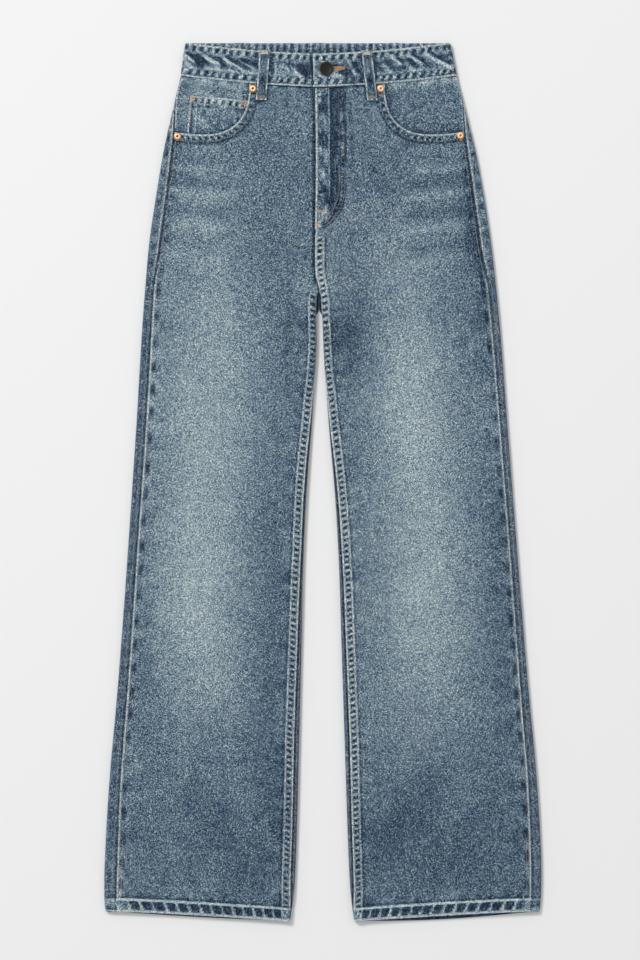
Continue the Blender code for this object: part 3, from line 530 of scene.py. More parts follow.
def fibres(tree, place, scale, shift, thin):
    # Thin wandering lines, 0 between them and 1 on them
    moved = addNode(tree, "ShaderNodeMapping", {"Vector": place, "Location": shift})
    value = noiseNode(tree, moved.outputs["Vector"], scale, 0.0, 0.5, 0.8)
    away = mathNode(tree, "ABSOLUTE", mathNode(tree, "SUBTRACT", value, 0.5), 0.0)
    return mathNode(tree, "MAXIMUM", mathNode(tree, "SUBTRACT", 1.0, mathNode(tree, "MULTIPLY", away, thin)), 0.0)


def denim(name, grain=1.0, stops=denimRamp):
    # Washed denim: the piece's own tone, pale fibres in a mottled grain and the twill's fine ribs
    material, tree, principled = shader(name, denimLook["roughness"])
    principled.inputs["Sheen Weight"].default_value = denimLook["sheen"]
    principled.inputs["Sheen Roughness"].default_value = denimLook["sheenRoughness"]
    principled.inputs["Specular IOR Level"].default_value = denimLook["specular"]
    place = tree.nodes.new("ShaderNodeTexCoord").outputs["Object"]
    pale = fibres(tree, place, 780, (0.0, 0.0, 0.0), 8)
    more = fibres(tree, place, 980, (1.7, 0.6, 0.3), 8)
    parts = {"fibres": mathNode(tree, "SUBTRACT", mathNode(tree, "ADD", pale, more), 0.86)}
    for part, kind in (("coarse", (560, 2, 0.65, 0.3)), ("fine", (1250, 2, 0.6, 0.2)), ("cloud", (42, 3, 0.5))):
        parts[part] = mathNode(tree, "SUBTRACT", noiseNode(tree, place, *kind), 0.5)
    value = toneOf(tree)
    for part, source in parts.items():
        value = mathNode(tree, "ADD", value, mathNode(tree, "MULTIPLY", source, denimLook[part] * grain))
    colourBy(tree, principled, value, stops)
    angle = math.radians(denimLook["ribAngle"])
    mapped = addNode(tree, "ShaderNodeMapping", {"Vector": place, "Rotation": (0, 0, angle)})
    wave = {"Vector": mapped.outputs["Vector"], "Scale": denimLook["ribs"], "Distortion": 1.2, "Detail": 1}
    ribs = addNode(tree, "ShaderNodeTexWave", wave).outputs["Fac"]
    rough = mathNode(tree, "ADD", mathNode(tree, "MULTIPLY", ribs, 0.3), parts["coarse"])
    rough = mathNode(tree, "ADD", rough, mathNode(tree, "MULTIPLY", parts["fibres"], 0.3))
    bump = addNode(tree, "ShaderNodeBump", {"Strength": denimLook["relief"], "Distance": 0.0006, "Height": rough})
    tree.links.new(bump.outputs["Normal"], principled.inputs["Normal"])
    return material


denimOuter = denim("denim")
warmRamp = [(at, (red + 3, green, max(blue - 4, 0))) for at, (red, green, blue) in denimRamp]
denimLoop = denim("denim_loop", 0.8, warmRamp)


# Wash, wear and painted shade, as a tone from 0, the darkest indigo, to 1, bare white cotton

frontPiece = {
    "width": 268, "length": 1040, "share": 0.84,  # the flat cut
    "tone": 0.505, "washDepth": 1.18, "inseamEdge": 0.80, "inseamBlocks": 0.62, "sideEdge": 0.60,
    "sidePuckers": 0.80, "hemTone": 0.47, "hemBlocks": 0.86, "hemEdge": 0.95, "gathers": 0.36,
    "pocketEdge": 0.70, "pocketTicks": 0.56,
}
# x, down, reach across, reach lengthwise, tone, all of them times washDepth
washSpots = [
    (-148, 410, 54, 120, 0.20), (-156, 640, 48, 140, 0.23), (-128, 600, 60, 170, 0.06),
    (108, 440, 48, 125, 0.28), (128, 640, 54, 130, 0.20), (118, 740, 60, 110, 0.11),
    (-150, 250, 46, 70, 0.07), (84, 262, 46, 60, 0.08), (-45, 300, 40, 60, -0.02),
    (-60, 700, 30, 260, -0.10), (40, 700, 26, 260, 0.01), (-224, 600, 22, 300, 0.01),
    (224, 620, 26, 320, -0.11), (-50, 900, 34, 120, -0.03), (200, 250, 24, 130, -0.17),
    (-186, 190, 26, 80, -0.02), (80, 150, 60, 60, -0.05), (-106, 330, 40, 56, 0.08),
    (0, 306, 50, 36, 0.11), (34, 350, 30, 50, -0.20), (-34, 340, 26, 44, -0.10),
    (0, 300, 30, 20, 0.06), (-142, 760, 50, 70, 0.10), (140, 96, 30, 26, -0.07),
    (-140, 92, 30, 24, 0.10), (-140, 58, 44, 20, 0.10), (-88, 480, 34, 90, 0.05),
    (-190, 430, 20, 70, 0.04), (200, 430, 20, 80, 0.06), (-137, 192, 40, 40, 0.05),
    (184, 210, 18, 56, -0.11), (-206, 643, 14, 70, 0.03), (-222, 747, 16, 60, -0.07),
    (-70, 200, 40, 60, -0.03), (-70, 130, 40, 30, -0.05), (-120, 975, 130, 80, -0.08),
    (140, 975, 130, 80, -0.13),
]
# start x, start down, end x, end down, half width, tone
whiskers = [
    (-188, 150, -112, 156, 4.5, 0.07), (-192, 165, -108, 176, 5, -0.05),
    (-192, 180, -100, 190, 5, 0.08), (-196, 200, -104, 212, 5.5, -0.05),
    (-198, 214, -106, 228, 6, 0.07), (-200, 238, -120, 248, 6, -0.03),
    (-200, 256, -118, 268, 7, 0.05), (182, 150, 108, 156, 4.5, 0.06),
    (186, 164, 100, 176, 5, -0.06), (188, 180, 92, 192, 5.5, 0.08),
    (190, 202, 90, 214, 6, -0.06), (192, 218, 88, 232, 6, 0.08),
    (194, 242, 104, 254, 6.5, -0.04), (192, 262, 96, 272, 7, 0.05),
]


def washAndFoldShade(x, down):
    tone = frontPiece["tone"] + frontPiece["washDepth"] * softSpots(x, down, washSpots)
    # Whiskers are wear; the folds' term is painted shade, darker in their troughs and lighter on their ridges
    tone += 2.0 * strokes(x, down, whiskers) + 0.055 * strokes(x, down, folds)
    tone += 0.036 * noise(x / 24, down / 30, 11) + 0.014 * noise(x / 8, down / 11, 12)
    tone += 0.018 * noise(x / 3.2, down / 46, 13)
    return tone


def roping(along, period, seed, duty=0.0, uneven=0.34):
    # Blocks along a sewn edge, from -1 to 1, uneven in length
    wander = uneven * noise(along / (period * 2.6), 0.5, seed)
    wave = np.sin(2 * math.pi * (along / period + wander)) + duty
    return np.tanh(2.4 * wave) * (0.82 + 0.18 * noise(along / (period * 1.3), 3.5, seed + 1))


def blobs(along, period, seed):
    # Soft puckers at uneven distances, from 0 to 1
    wander = 0.42 * noise(along / (period * 2.2), 1.5, seed)
    wave = 0.5 + 0.5 * np.sin(2 * math.pi * (along / period + wander))
    return wave**2 * (0.62 + 0.38 * noise(along / (period * 1.7), 7.5, seed + 2))


def besideLoops(x, down):
    # Shadow beside the front belt loops, from 0 to 1
    shade = np.zeros(np.broadcast(x, down).shape)
    for x0, down0, x1, down1 in frontLoops.values():
        away = np.abs(x - mix(x0, x1, (down - down0) / (down1 - down0))) - loopHalf
        past = np.maximum(down - down1, down0 - down)
        shade += np.exp(-np.maximum(np.maximum(away, past), 0) / 1.7) * (past < 4)
    return shade


# Front panels

nearDense = [0, 0.5, 1.0, 1.6, 2.3, 3.1, 4.0, 5.0, 6.0, 7.0, 8.0, 8.8, 9.6, 10.4, 11.2, 12.4,
             13.6, 14.8, 15.8, 16.6, 17.4, 18.1, 18.8, 19.6, 20.7, 22]
flyDense = list(np.arange(23.5, 52.1, 1.5))
farDense = [22, 19.5, 17, 15, 13, 11.2, 9.6, 8.2, 6.8, 5.6, 4.5, 3.6, 2.8, 2.0, 1.3, 0.7, 0]
evenCount = 76
waistCount = 17


def lapOf(side, down):
    return (side < 0) * flyLap * (1 - ease(down, flyEnd, frontCrotch - 12))


def frontWhole(side, down):
    # Width of a front panel along the cloth, from its inner seam or fly edge to the outseam
    shut = frontClosing(down)
    edge = frontEdge(side, down)
    start = inseamArc(side, down) * shut + 0.2
    turned = (quarterLength(rimRise(side, down, edge + foldRadius)) - foldRadius) * shut
    outer = halfWidth(down) - outseamInset(side, down) - seamGap / 2
    return start, outer - edge + turned - start


def frontOffsets(side, down):
    # Offsets of all columns at each distance down, one row each
    down = np.atleast_1d(np.asarray(down, float))
    whole = frontWhole(side, down)[1][:, None]
    near = np.array(nearDense)[None, :]
    near = near - lapOf(side, down)[:, None] * (1 - near / nearDense[-1])
    fly = np.repeat(np.array(flyDense)[None, :], len(down), 0)
    even = mix(flyDense[-1], whole - farDense[0], np.linspace(0, 1, evenCount + 1)[None, 1:-1])
    far = whole - np.array(farDense)[None, :]
    return np.concatenate([near, fly, even, far], 1)


def frontRough(side, down, off):
    # (whole wall's rise, outer face's rise, tone) of a front panel at distances from its inner edge
    look = frontPiece
    start, whole = frontWhole(side, down)
    x = middle(down) + side * (frontEdge(side, down) + start + off)
    o = np.maximum(whole - off, 0.0)
    tone = washAndFoldShade(x, down)
    wallRise, rise = np.zeros_like(tone), np.zeros_like(tone)
    leg = ease(down, frontCrotch - 2, frontCrotch + 8)
    seam = np.maximum(leg, ease(down, flyEnd - 8, flyEnd + 8)) if side > 0 else leg
    if side > 0:
        wallRise += flyRise * (1 - ease(off, 43.5, 48)) * (1 - ease(down, 236, 262))
        tone, rise = flyWearAndShade(down, off, tone, rise)
    else:
        lap = 1 - frontClosing(down)
        wallRise -= 1.7 * (1 - ease(off, 0.6, 9.4)) * lap
        # Painted shadow on the right front: a dark line and a softer band beside the left front's raised fly edge
        tone -= lap * (0.42 * line(off, 1.2, 1.9) + 0.10 * (1 - ease(off, 1, 7)) * ease(down, 90, 110))
        tone += 0.20 * line(off, 4.4, 1.3) * between(down, 196, 208, 236, 250)
        tone += lap * 0.10 * noise(off / 2.6, down / 7, 30) * (1 - ease(off, 8, 16))

    # inseam: worn white edge, roped blocks, the inner row's pale line and the dip beside it
    block = roping(down + 0.35 * off, 7.0, 21 + side)
    inside = between(off, 2.2, 3.0, 7.8, 8.8)
    tone += seam * (look["inseamEdge"] * line(off, 0.9, 1.05) + 0.50 * line(off, 9.9, 1.0))
    tone -= seam * (0.24 * line(off, 12.2, 1.4) + 0.16 * line(off, 2.2, 0.7))
    tone += seam * inside * (look["inseamBlocks"] * block - 0.06)
    rise += seam * (0.8 * (1 - ease(off, 9.9, 11.7)) + 0.34 * inside * block - 0.45 * fading(off, 0.5))
    rays = noise(down / 6.5, off / 24, 31)
    tone += leg * 0.14 * rays * between(off, 10, 11.5, 15, 30)
    # Painted shadow on the right leg's front near its inner fold, just below the crotch
    tone -= (side < 0) * 0.26 * leg * (1 - ease(off, 0, 14)) * (1 - ease(down, 400, 440))

    # side seam: worn line on the front below the hip, the dark groove, puckers every few centimetres
    low = ease(down, 262, 300)
    dark = blobs(down, mix(17.0, 30.0, low), 41 + side)
    beside = between(o, 2.2, 3.8, 7.0, 13.0 - 4.0 * dark)
    tone += low * (look["sideEdge"] * line(o, 1.7, 1.0) + 0.06 * line(o, 10.6, 1.6)) - 0.50 * line(o, 0.0, 0.7)
    tone += beside * mix(-0.02, 0.08, low) - beside * dark * mix(0.40, look["sidePuckers"], low)
    tone -= (1 - low) * 0.38 * line(o, 0.5, 1.4)
    rise += beside * (0.22 - 0.6 * dark) * mix(0.45, 1.0, low) - 0.4 * np.exp(-o / 0.5)
    tone += ease(down, 960, 1010) * 0.22 * line(o, 4.9, 0.9)
    rays = noise(down / 9, o / 40, 33)
    tone += 0.10 * rays * between(o, 6, 9, 16, 44) * mix(0.5, 1.0, low)

    # hem
    h = down - hemLine(1 - off / np.maximum(whole, 1)) + hemHeight
    into = ease(h, -1.4, -0.2)
    inHem = between(h, 1.6, 2.8, 12.2, 13.4)
    blocks = roping(off - 17.0 * np.exp(-off / 45.0) + 0.42 * h, 14.4, 51, 0.42 - 0.3 * ease(h, 7, 12), 0.14)
    tone = mix(tone, look["hemTone"] + 0.06 * noise(x / 9, h / 5, 52), into * 0.85)
    ends = (line(off, 4.0, 5.0) + line(o, 6.0, 6.0)) * inHem
    tone += inHem * (0.42 - look["hemBlocks"] * ease(blocks, -0.8, -0.2)) * (1 - ends) + 0.22 * ends
    tone += 0.92 * line(h, 14.5, 1.35) + look["hemEdge"] * line(h, 0.8, 1.4)
    # The first dark line, just above the hem, is painted shadow of its raised edge
    tone -= 0.34 * line(h, -2.4, 1.3) + 0.16 * line(h, 2.4, 0.8)
    rays = noise(x / 5.0 + h * 0.07 * side, h / 26, 53)
    fade = fading(-h, 10) * (1 - into)
    tone += 0.30 * rays * fade - 0.06 * fade
    rise += 0.85 * into - 0.45 * inHem * ease(blocks, -0.75, -0.1) - 0.3 * line(h, 0.2, 0.6)
    rise -= 0.4 * ease(h, 15.2, 16.0) + 0.22 * rays * fade

    # gathers and shadow under the waistband
    w = np.maximum(down - waistSeam(x), 0)
    fan = noise(x / 4.2 + w * 0.05, w / 18, 61)
    tone += look["gathers"] * fan * np.exp(-w / 7) - 0.52 * np.exp(-w / 1.5) + 0.14 * line(w, 4.2, 1.8)
    tone -= 0.28 * line(x, 33.0, 13.0) * np.exp(-w / 2.6)
    tone -= 0.55 * besideLoops(x, down)
    rise += 0.24 * fan * np.exp(-w / 7)

    # pocket opening
    d = pocketDistance(x, down)
    bent = pocketAlong(x, down)
    border = 1 - ease(d, 8.8, 10.0)
    onCurve = (np.abs(x - pocketMiddle) > pocketNear - 14) & (down < 150)
    ticks = roping(bent + 0.5 * d, 7.2, 71 + side, 0.0, 0.2)
    flat = ease(bent, 50, 80)
    ticked = look["pocketTicks"] * ticks * between(d, 2.4, 3.2, 6.8, 7.6)
    change = border * (-0.15 + ticked * mix(0.6, 1.0, flat)) + mix(look["pocketEdge"], 0.85, flat) * line(d, 0.9, 1.1)
    change += 0.26 * line(d, 8.4, 0.8) - 0.46 * line(d, 10.6, 1.2)
    rays = noise(bent / 4.6, d / 22, 73)
    out = ease(d, 9.6, 10.6) * fading(d - 10, 7)
    tone = np.where(onCurve, tone + change + 0.34 * rays * out, tone)
    lifted = border * 0.7 - 0.45 * fading(d, 0.6) + 0.2 * ticks * border
    rise = np.where(onCurve, rise + lifted - 0.2 * line(d, 10.6, 0.9) + 0.2 * rays * out, rise)
    return wallRise, rise, tone


flyLook = {"rows": (28.6, 35.6), "knots": (66.0, 124.0, 181.0), "knotDark": 0.60, "edge": 1.05, "ridgeShade": 1.0}


def flyWearAndShade(down, off, tone, rise):
    # The fly's worn edge, its ridge with painted shade in the crease beside it, dark creases and the band between its
    # rows of stitching
    fly = 1 - ease(down, flyEnd - 8, flyEnd + 4)
    width = flyCurve(down)
    rowA, rowB = (row * width for row in flyLook["rows"])
    tone = tone - 0.16 * fly * (1 - ease(off, rowB, rowB + 6))
    edge = mix(flyLook["edge"], 0.80, ease(down, 175, 200)) * (1 - ease(down, 296, 304))
    tone = tone + edge * line(off, 1.1, 1.25)
    rise = rise - 0.5 * np.exp(-off / 0.6) * (1 - ease(down, 290, 300))
    pale = between(off, 3, 4.5, 13.5, 15.5) * fly
    knots = blobs(down, 34.0, 81)
    tone = tone + pale * (0.22 - 0.80 * knots * ease(noise(off / 5, down / 6, 82), -0.5, 0.4))
    tone = tone + pale * 0.34 * noise(off / 2.4 + down / 14, down / 4.6, 88)
    slanted = down + 0.25 * off
    for knot in flyLook["knots"]:
        tone = tone - flyLook["knotDark"] * line(down, knot, 7.0) * line(off, 8.5, 6.0) * fly
        folded = line(slanted, knot - 1.0, 1.3) + line(slanted, knot + 6.0, 1.3)
        tone = tone + 1.1 * folded * line(off, 6.0, 3.0) * fly
    rise = rise + 0.34 * pale * noise(off / 6, down / 7, 83)
    ridge = (1 - ease(down, 190, 214)) * fly
    sway = 17.4 + 0.8 * noise(down / 22, 0.2, 84)
    # Pale worn line on the ridge; the dark lines beside it are painted shade in the crease
    tone = tone + ridge * (0.46 * line(off, sway - 1.2, 0.9) - flyLook["ridgeShade"] * line(off, sway + 0.9, 0.9))
    tone = tone - ridge * 0.24 * line(off, sway + 3.0, 1.8)
    rise = rise + ridge * (0.6 * line(off, sway - 1.8, 1.8) - 0.9 * line(off, sway + 1.0, 1.0))
    dark = between(off, 18, 21, rowB + 1.2, rowB + 3.6) * fly
    tone = tone - dark * (0.16 + 0.30 * noise(off / 2.6, down / 9, 85))
    rows = (line(off, rowA, 1.1) + line(off, rowB, 1.1)) * (down < flyEnd)
    tone = tone - fly * mix(0.13, 0.42, ease(down, 168, 186)) * rows
    tone = tone - 0.5 * line(off, 18.0, 4.6) * line(down, 193.0, 9.0)
    welt = 0.30 * line(off, (rowA + rowB) / 2, 1.5) * (0.4 + 0.8 * roping(down, 5.6, 89))
    tone = tone + fly * (welt + 0.16 * line(off, rowB + 3.0, 1.3))
    rise = rise + fly * (0.25 * line(off, (rowA + rowB) / 2, 2.4) - 0.3 * line(off, rowB, 0.8))
    spots = blobs(down, 17.5, 86) * (1 - ease(down, 150, 180)) * ease(down, 66, 76)
    tone = tone - 0.44 * spots * line(off, rowB + 6.5, 2.8)
    rise = rise - 0.34 * spots * line(off, rowB + 6.5, 2.6)
    below = between(down, flyEnd - 4, flyEnd + 6, 292, 300)
    tone = tone + below * 0.24 * line(off, 11.2, 0.8) * (0.4 + 0.6 * roping(down, 4.2, 87))
    return tone, rise


def flyCurve(down):
    # Share of the fly's full width left at each distance down, where its stitching turns in
    turned = np.clip((np.asarray(down, float) - flyStraight) / (flyEnd - 8 - flyStraight), 0, 1)
    return np.sqrt(1 - turned**2)


def frontPoints(side, down, off):
    # Points of a front panel's outer face, its inner face and the tone
    start = frontWhole(side, down)[0]
    edge = frontEdge(side, down)
    shut = frontClosing(down)
    wallRise, rise, tone = frontRough(side, down, off)
    faces = []
    for lift in (wallRise + rise, wallRise - cloth):
        flatX = middle(down) + side * (edge + start + off)
        flat = frontHeight(flatX, down) + lift
        x, _, height = innerFold(side, down, edge, shut, start + off, lift, np.zeros_like(lift))
        faces.append(toPoints(np.where(shut > 0, x, flatX), down, np.where(shut > 0, height, flat)))
    return faces[0], faces[1], tone


def frontRows(side):
    # Offsets and distances down of a front panel's grid
    bow = np.stack(pocketBow(np.linspace(0, math.pi / 2, 400)), -1)
    outerAway = np.linspace(pocketFlat, pocketSide, 60)[1:]
    outer = np.stack([outerAway, pocketCurve(outerAway)], -1)
    path = np.concatenate([bow, outer])
    walked = np.concatenate([[0], np.cumsum(np.hypot(*np.diff(path, axis=0).T))])
    flyX = curve(flyTable, 54.0, 1)
    near = np.array(nearDense) - (flyLap if side < 0 else 0) * (1 - np.array(nearDense) / nearDense[-1])
    corner = side * (pocketMiddle + side * pocketNear - flyX)
    waist = np.concatenate([near, flyDense, np.linspace(flyDense[-1], corner, waistCount + 1)[1:-1]])
    waistX = flyX + side * waist
    top = [(off, float(waistSeam(x)) + seamGap) for off, x in zip(waist, waistX)]
    normal = [(0.0, 1.0)] * len(top)
    count = evenCount - 1 + len(farDense) - (waistCount - 1)
    total = walked[-1]
    stations = np.concatenate([
        np.linspace(0, total - farDense[0], count - len(farDense) + 1)[:-1], total - np.array(farDense)])
    for station in stations:
        away = np.interp(station, walked, path[:, 0])
        down = max(np.interp(station, walked, path[:, 1]), float(waistSeam(pocketMiddle + side * away)) + seamGap)
        x = pocketMiddle + side * away
        wide = pocketFlat - pocketNear
        across = -(max(pocketFlat - away, 0.0) / wide) ** (pocketPower - 1) / wide
        lengthwise = (max(down - pocketTop, 0.2) / pocketDepth) ** (pocketPower - 1) / pocketDepth
        size = math.hypot(across, lengthwise)
        top.append((side * (x - float(curve(flyTable, down, 1))), down))
        normal.append((across / size, lengthwise / size))
    first = len(waist)
    for k in range(5):
        turn = (k + 1) / 6
        normal[first - 5 + k] = (-0.8 * turn, 1.0 - 0.45 * turn)
    top, normal = np.array(top), np.array(normal)
    borderSteps = [0, 0.45, 0.9, 1.5, 2.2, 3.0, 3.8, 4.7, 5.6, 6.5, 7.3, 8.0, 8.7, 9.4, 10.2, 11.4]
    offs, downs = [], []
    for step in borderSteps:
        row = top + normal * step
        row[-len(farDense):, 0] = frontWhole(side, row[-len(farDense):, 1])[1] - farDense
        offs.append(row[:, 0])
        downs.append(row[:, 1])
    goal = frontOffsets(side, [150.0])[0]
    conform = 16
    for k in range(1, conform):
        t = k / conform
        downRow = mix(downs[len(borderSteps) - 1], 150.0, t)
        offRow = mix(offs[len(borderSteps) - 1], goal, t * t * (3 - 2 * t))
        offRow[-len(farDense):] = frontWhole(side, downRow[-len(farDense):])[1] - farDense
        offs.append(offRow)
        downs.append(downRow)
    levels = np.concatenate([np.arange(150, 236, 1.6), np.arange(236, 350, 1.5), np.arange(350, 1000.1, 1.65)])
    for row, offRow in zip(levels, frontOffsets(side, levels)):
        offs.append(offRow)
        downs.append(np.full(len(offRow), row))
    hemRows = np.concatenate([np.linspace(-18, -2, 10), np.arange(-1.2, 15.9, 0.9), [16.0]])
    last = downs[-1]
    share = 1 - offs[-1] / offs[-1][-1]
    firstHem = hemLine(share) - hemHeight - 18
    for t in np.linspace(0, 1, 15)[1:-1]:
        offs.append(None)
        downs.append(mix(last, firstHem, t))
    for h in hemRows:
        offs.append(None)
        downs.append(hemLine(share) - hemHeight + h)
    for k, down in enumerate(downs):
        if offs[k] is None:
            offs[k] = np.diagonal(frontOffsets(side, down)).copy()
    return np.array(offs), np.array(downs)


def finishCloth(name, obj):
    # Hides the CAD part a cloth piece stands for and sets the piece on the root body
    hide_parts(name)
    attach(obj, "root")
    print(name, len(obj.data.vertices), "points")


frontPanels = {}

for side, word in sides.items():
    off, down = frontRows(side)
    outer, inner, tone = frontPoints(side, down, off)
    frontPanels[side] = addShell(f"front_{word}_panel", outer, inner, denimOuter, tone)


# Back panels and yokes

backPiece = {
    "width": 300, "length": 975, "share": 0.80,  # the flat cut
    "tone": 0.45, "sideEdge": 0.48, "sidePuckers": 0.52, "riseEdge": 0.60, "yokeEdge": 0.50,
    "hemBlocks": 0.40, "hemEdge": 0.46,
}
yokePiece = {"width": 176, "length": 76, "share": 0.70, "lighter": -0.02, "gathers": 0.2}
nearCount, farCount = 18, 26
flatShares = np.linspace(0, 1, 56)[1:-1]


def outsidePocket(x, down, side):
    # Distance outside a back pocket's outline, below 0 inside it
    across = np.abs(x - middle(backPocketTop) - side * backPocketAway)
    t = (down - backPocketTop) / (backPocketEnd - backPocketTop)
    wide = backPocketHalf - backPocketTaper * np.clip(t, 0, 1)
    point = down - (backPocketEnd - backPocketPoint * np.clip(across / (backPocketHalf - backPocketTaper), 0, 1))
    return np.maximum(np.maximum(across - wide, backPocketTop - down), point)


def outsideLoops(x, down):
    loops = [np.abs(x - middle(0.0) - away) - loopHalf for away in backLoops.values()]
    return np.maximum(np.minimum.reduce(loops), down - 50.0)


def carried(x, down, side):
    # How far the back layer is lifted by the pocket or loop sewn on below it
    pocket = 1.5 * (1 - ease(outsidePocket(x, down, side), 0.4, 8.5))
    loop = 1.9 * (1 - ease(outsideLoops(x, down), 0.4, 3.6))
    return np.maximum(pocket, loop)


# start x, start down, end x, end down, half width, rise
backFolds = [
    (-150, 310, -60, 338, 9, 0.5), (-175, 345, -80, 372, 9, 0.35),
    (150, 306, 60, 340, 9, 0.5), (172, 350, 86, 374, 9, 0.4),
    (-190, 560, -80, 548, 8, 0.45), (-196, 590, -92, 600, 9, 0.5),
    (-200, 632, -96, 618, 8, 0.35), (196, 566, 84, 552, 8, 0.5),
    (198, 602, 92, 612, 9, 0.4), (204, 640, 100, 628, 8, 0.4),
    (-214, 900, -120, 940, 10, 0.5), (-120, 930, -60, 1010, 12, 0.5),
    (214, 880, 110, 936, 10, 0.55), (130, 950, 74, 1020, 12, 0.45),
    (-90, 420, -60, 520, 12, 0.3), (86, 410, 58, 520, 12, 0.3),
]


# x, down, reach across, reach lengthwise, tone
backSpots = [
    (-100, 240, 64, 84, 0.20), (92, 240, 64, 84, 0.20),
    (-120, 470, 46, 130, 0.17), (118, 480, 46, 130, 0.16),
    (-150, 760, 50, 110, 0.07), (150, 770, 50, 110, 0.06),
    (-130, 600, 60, 34, -0.06), (130, 606, 60, 34, -0.06),
    (-110, 1000, 90, 60, -0.05), (110, 1000, 90, 60, -0.05),
]


def backWashAndFoldShade(x, down):
    # Wash spots, plus painted shade: darker along the back folds' hollows
    tone = backPiece["tone"] + softSpots(x, down, backSpots) - 0.22 * strokes(x, down, backFolds)
    return tone + 0.035 * noise(x / 22, down / 26, 15) + 0.02 * noise(x / 7, down / 10, 16)


def backFace(side, down, wear=0.0, inside=False):
    # Points of a back panel's outer or inner face, and where they lie; down is a grid
    shut, edge = backClosing(down), backEdge(side, down)
    riseIn = rimRise(side, down, edge + foldRadius)
    near = quarterLength(riseIn)
    seamIn = (inseamArc(side, down) - 0.2) * shut
    riseOut = rimRise(side, down, halfWidth(down) - foldRadius)
    seamOut = outseamArc(side, down) - seamGap / 2
    count = nearCount + len(flatShares) + farCount
    k = np.arange(count)[None, :]
    arcIn = mix(-seamIn, near, np.minimum(k / (nearCount - 1), 1.0) ** 1.15)
    start = edge + mix(near, foldRadius, shut)
    share = np.interp(k, np.arange(nearCount - 1, nearCount + len(flatShares) + 1), [0, *flatShares, 1])
    flatX = middle(down) + side * mix(start, halfWidth(down) - foldRadius, share)
    far = np.clip((k - nearCount - len(flatShares)) / (farCount - 1), 0, 1)
    arcOut = mix(-quarterLength(riseOut), seamOut, 1 - (1 - far) ** 1.3)
    pressed = np.where((k >= nearCount) & (k < count - farCount), strokes(flatX, down, backFolds), 0.0)
    pressed = pressed + carried(flatX, down, side) - np.minimum(wear, 0.0)
    lift = -cloth if inside else wear
    sink = pressed + cloth if inside else pressed
    lift, sink = np.broadcast_to(lift, down.shape), np.broadcast_to(sink, down.shape)
    xIn, _, heightIn = innerFold(side, down, edge, shut, -arcIn, lift, sink)
    xOut, _, heightOut = outerFold(side, down, arcOut, lift, sink)
    x = np.where(k < nearCount, xIn, np.where(k < count - farCount, flatX, xOut))
    height = np.where(k < nearCount, heightIn, np.where(k < count - farCount, sink, heightOut))
    return toPoints(x, down, height), arcIn + seamIn, seamOut - arcOut, flatX, k


def seamRow(side):
    # Distance down of the yoke seam at each of a back panel's columns
    down = np.full((1, nearCount + len(flatShares) + farCount), 90.0)
    for _ in range(6):
        down = yokeSeam(backFace(side, down)[0][..., 0])
    return down


def yokeSeam(x):
    return mix(yokeMiddle, yokeSide, np.minimum(np.abs(x - middle(80.0)) / 172.0, 1.0))


def backHem(side, row, down):
    # Distances down of one row of the back hem
    x = backFace(side, np.full_like(down, 1050.0))[0][..., 0]
    outerX, innerX = halfWidth(1050.0), backEdge(side, 1050.0)
    inward = np.clip((outerX - side * (x - middle(1050.0))) / (outerX - innerX), 0, 1)
    k = np.arange(down.shape[1])[None, :]
    flat = between(k, nearCount - 3, nearCount + 3, down.shape[1] - farCount - 3, down.shape[1] - farCount + 3)
    return hemLine(inward) - hemHeight + row + hemBackDrop[side] * np.sin(math.pi * inward) * flat, inward


def makeBack(side, word):
    top = seamRow(side) + seamGap
    rows = [top + step for step in (0, 0.6, 1.2, 1.8, 2.6, 3.6, 5, 6.4, 7.8, 8.8, 9.6, 10.4, 11.6, 13.2, 15.2)]
    rows += [mix(top + 15.2, 130.0, t) for t in np.linspace(0, 1, 12)[1:-1]]
    rows += [np.full_like(top, level) for level in np.arange(130, 1000, 2.6)]
    hemFirst = backHem(side, -18.0, top)[0]
    rows += [mix(1000.0, hemFirst, t) for t in np.linspace(0, 1, 14)[1:-1]]
    hemSteps = np.concatenate([np.linspace(-18, -2, 8), np.arange(-1.2, 15.9, 1.2), [16.0]])
    rows += [backHem(side, step, top)[0] for step in hemSteps]
    down = np.concatenate(rows)
    _, fromIn, fromOut, flatX, k = backFace(side, down)
    tone, wear = backWearAndShade(side, down, fromIn, fromOut, flatX, k)
    outer = backFace(side, down, wear)[0]
    inner = backFace(side, down, wear, inside=True)[0]
    insideTone = np.full(down.shape, 0.42) + 0.08 * noise(flatX / 5, down / 6, 19)
    # Painted shadow on the inner face: in the slot below the front crotch and at the hem, where it shows under the
    # front
    insideTone -= 0.42 * (1 - ease(down, 334, 360)) * ease(down, 270, 286) * (np.abs(flatX - middle(down)) < 14)
    insideTone -= 0.3 * ease(down, 1050, 1060)
    panel = addShell(f"back_{word}_panel", outer, inner, denimOuter, tone, insideTone, step=3)
    finishCloth(f"back_{word}", panel)


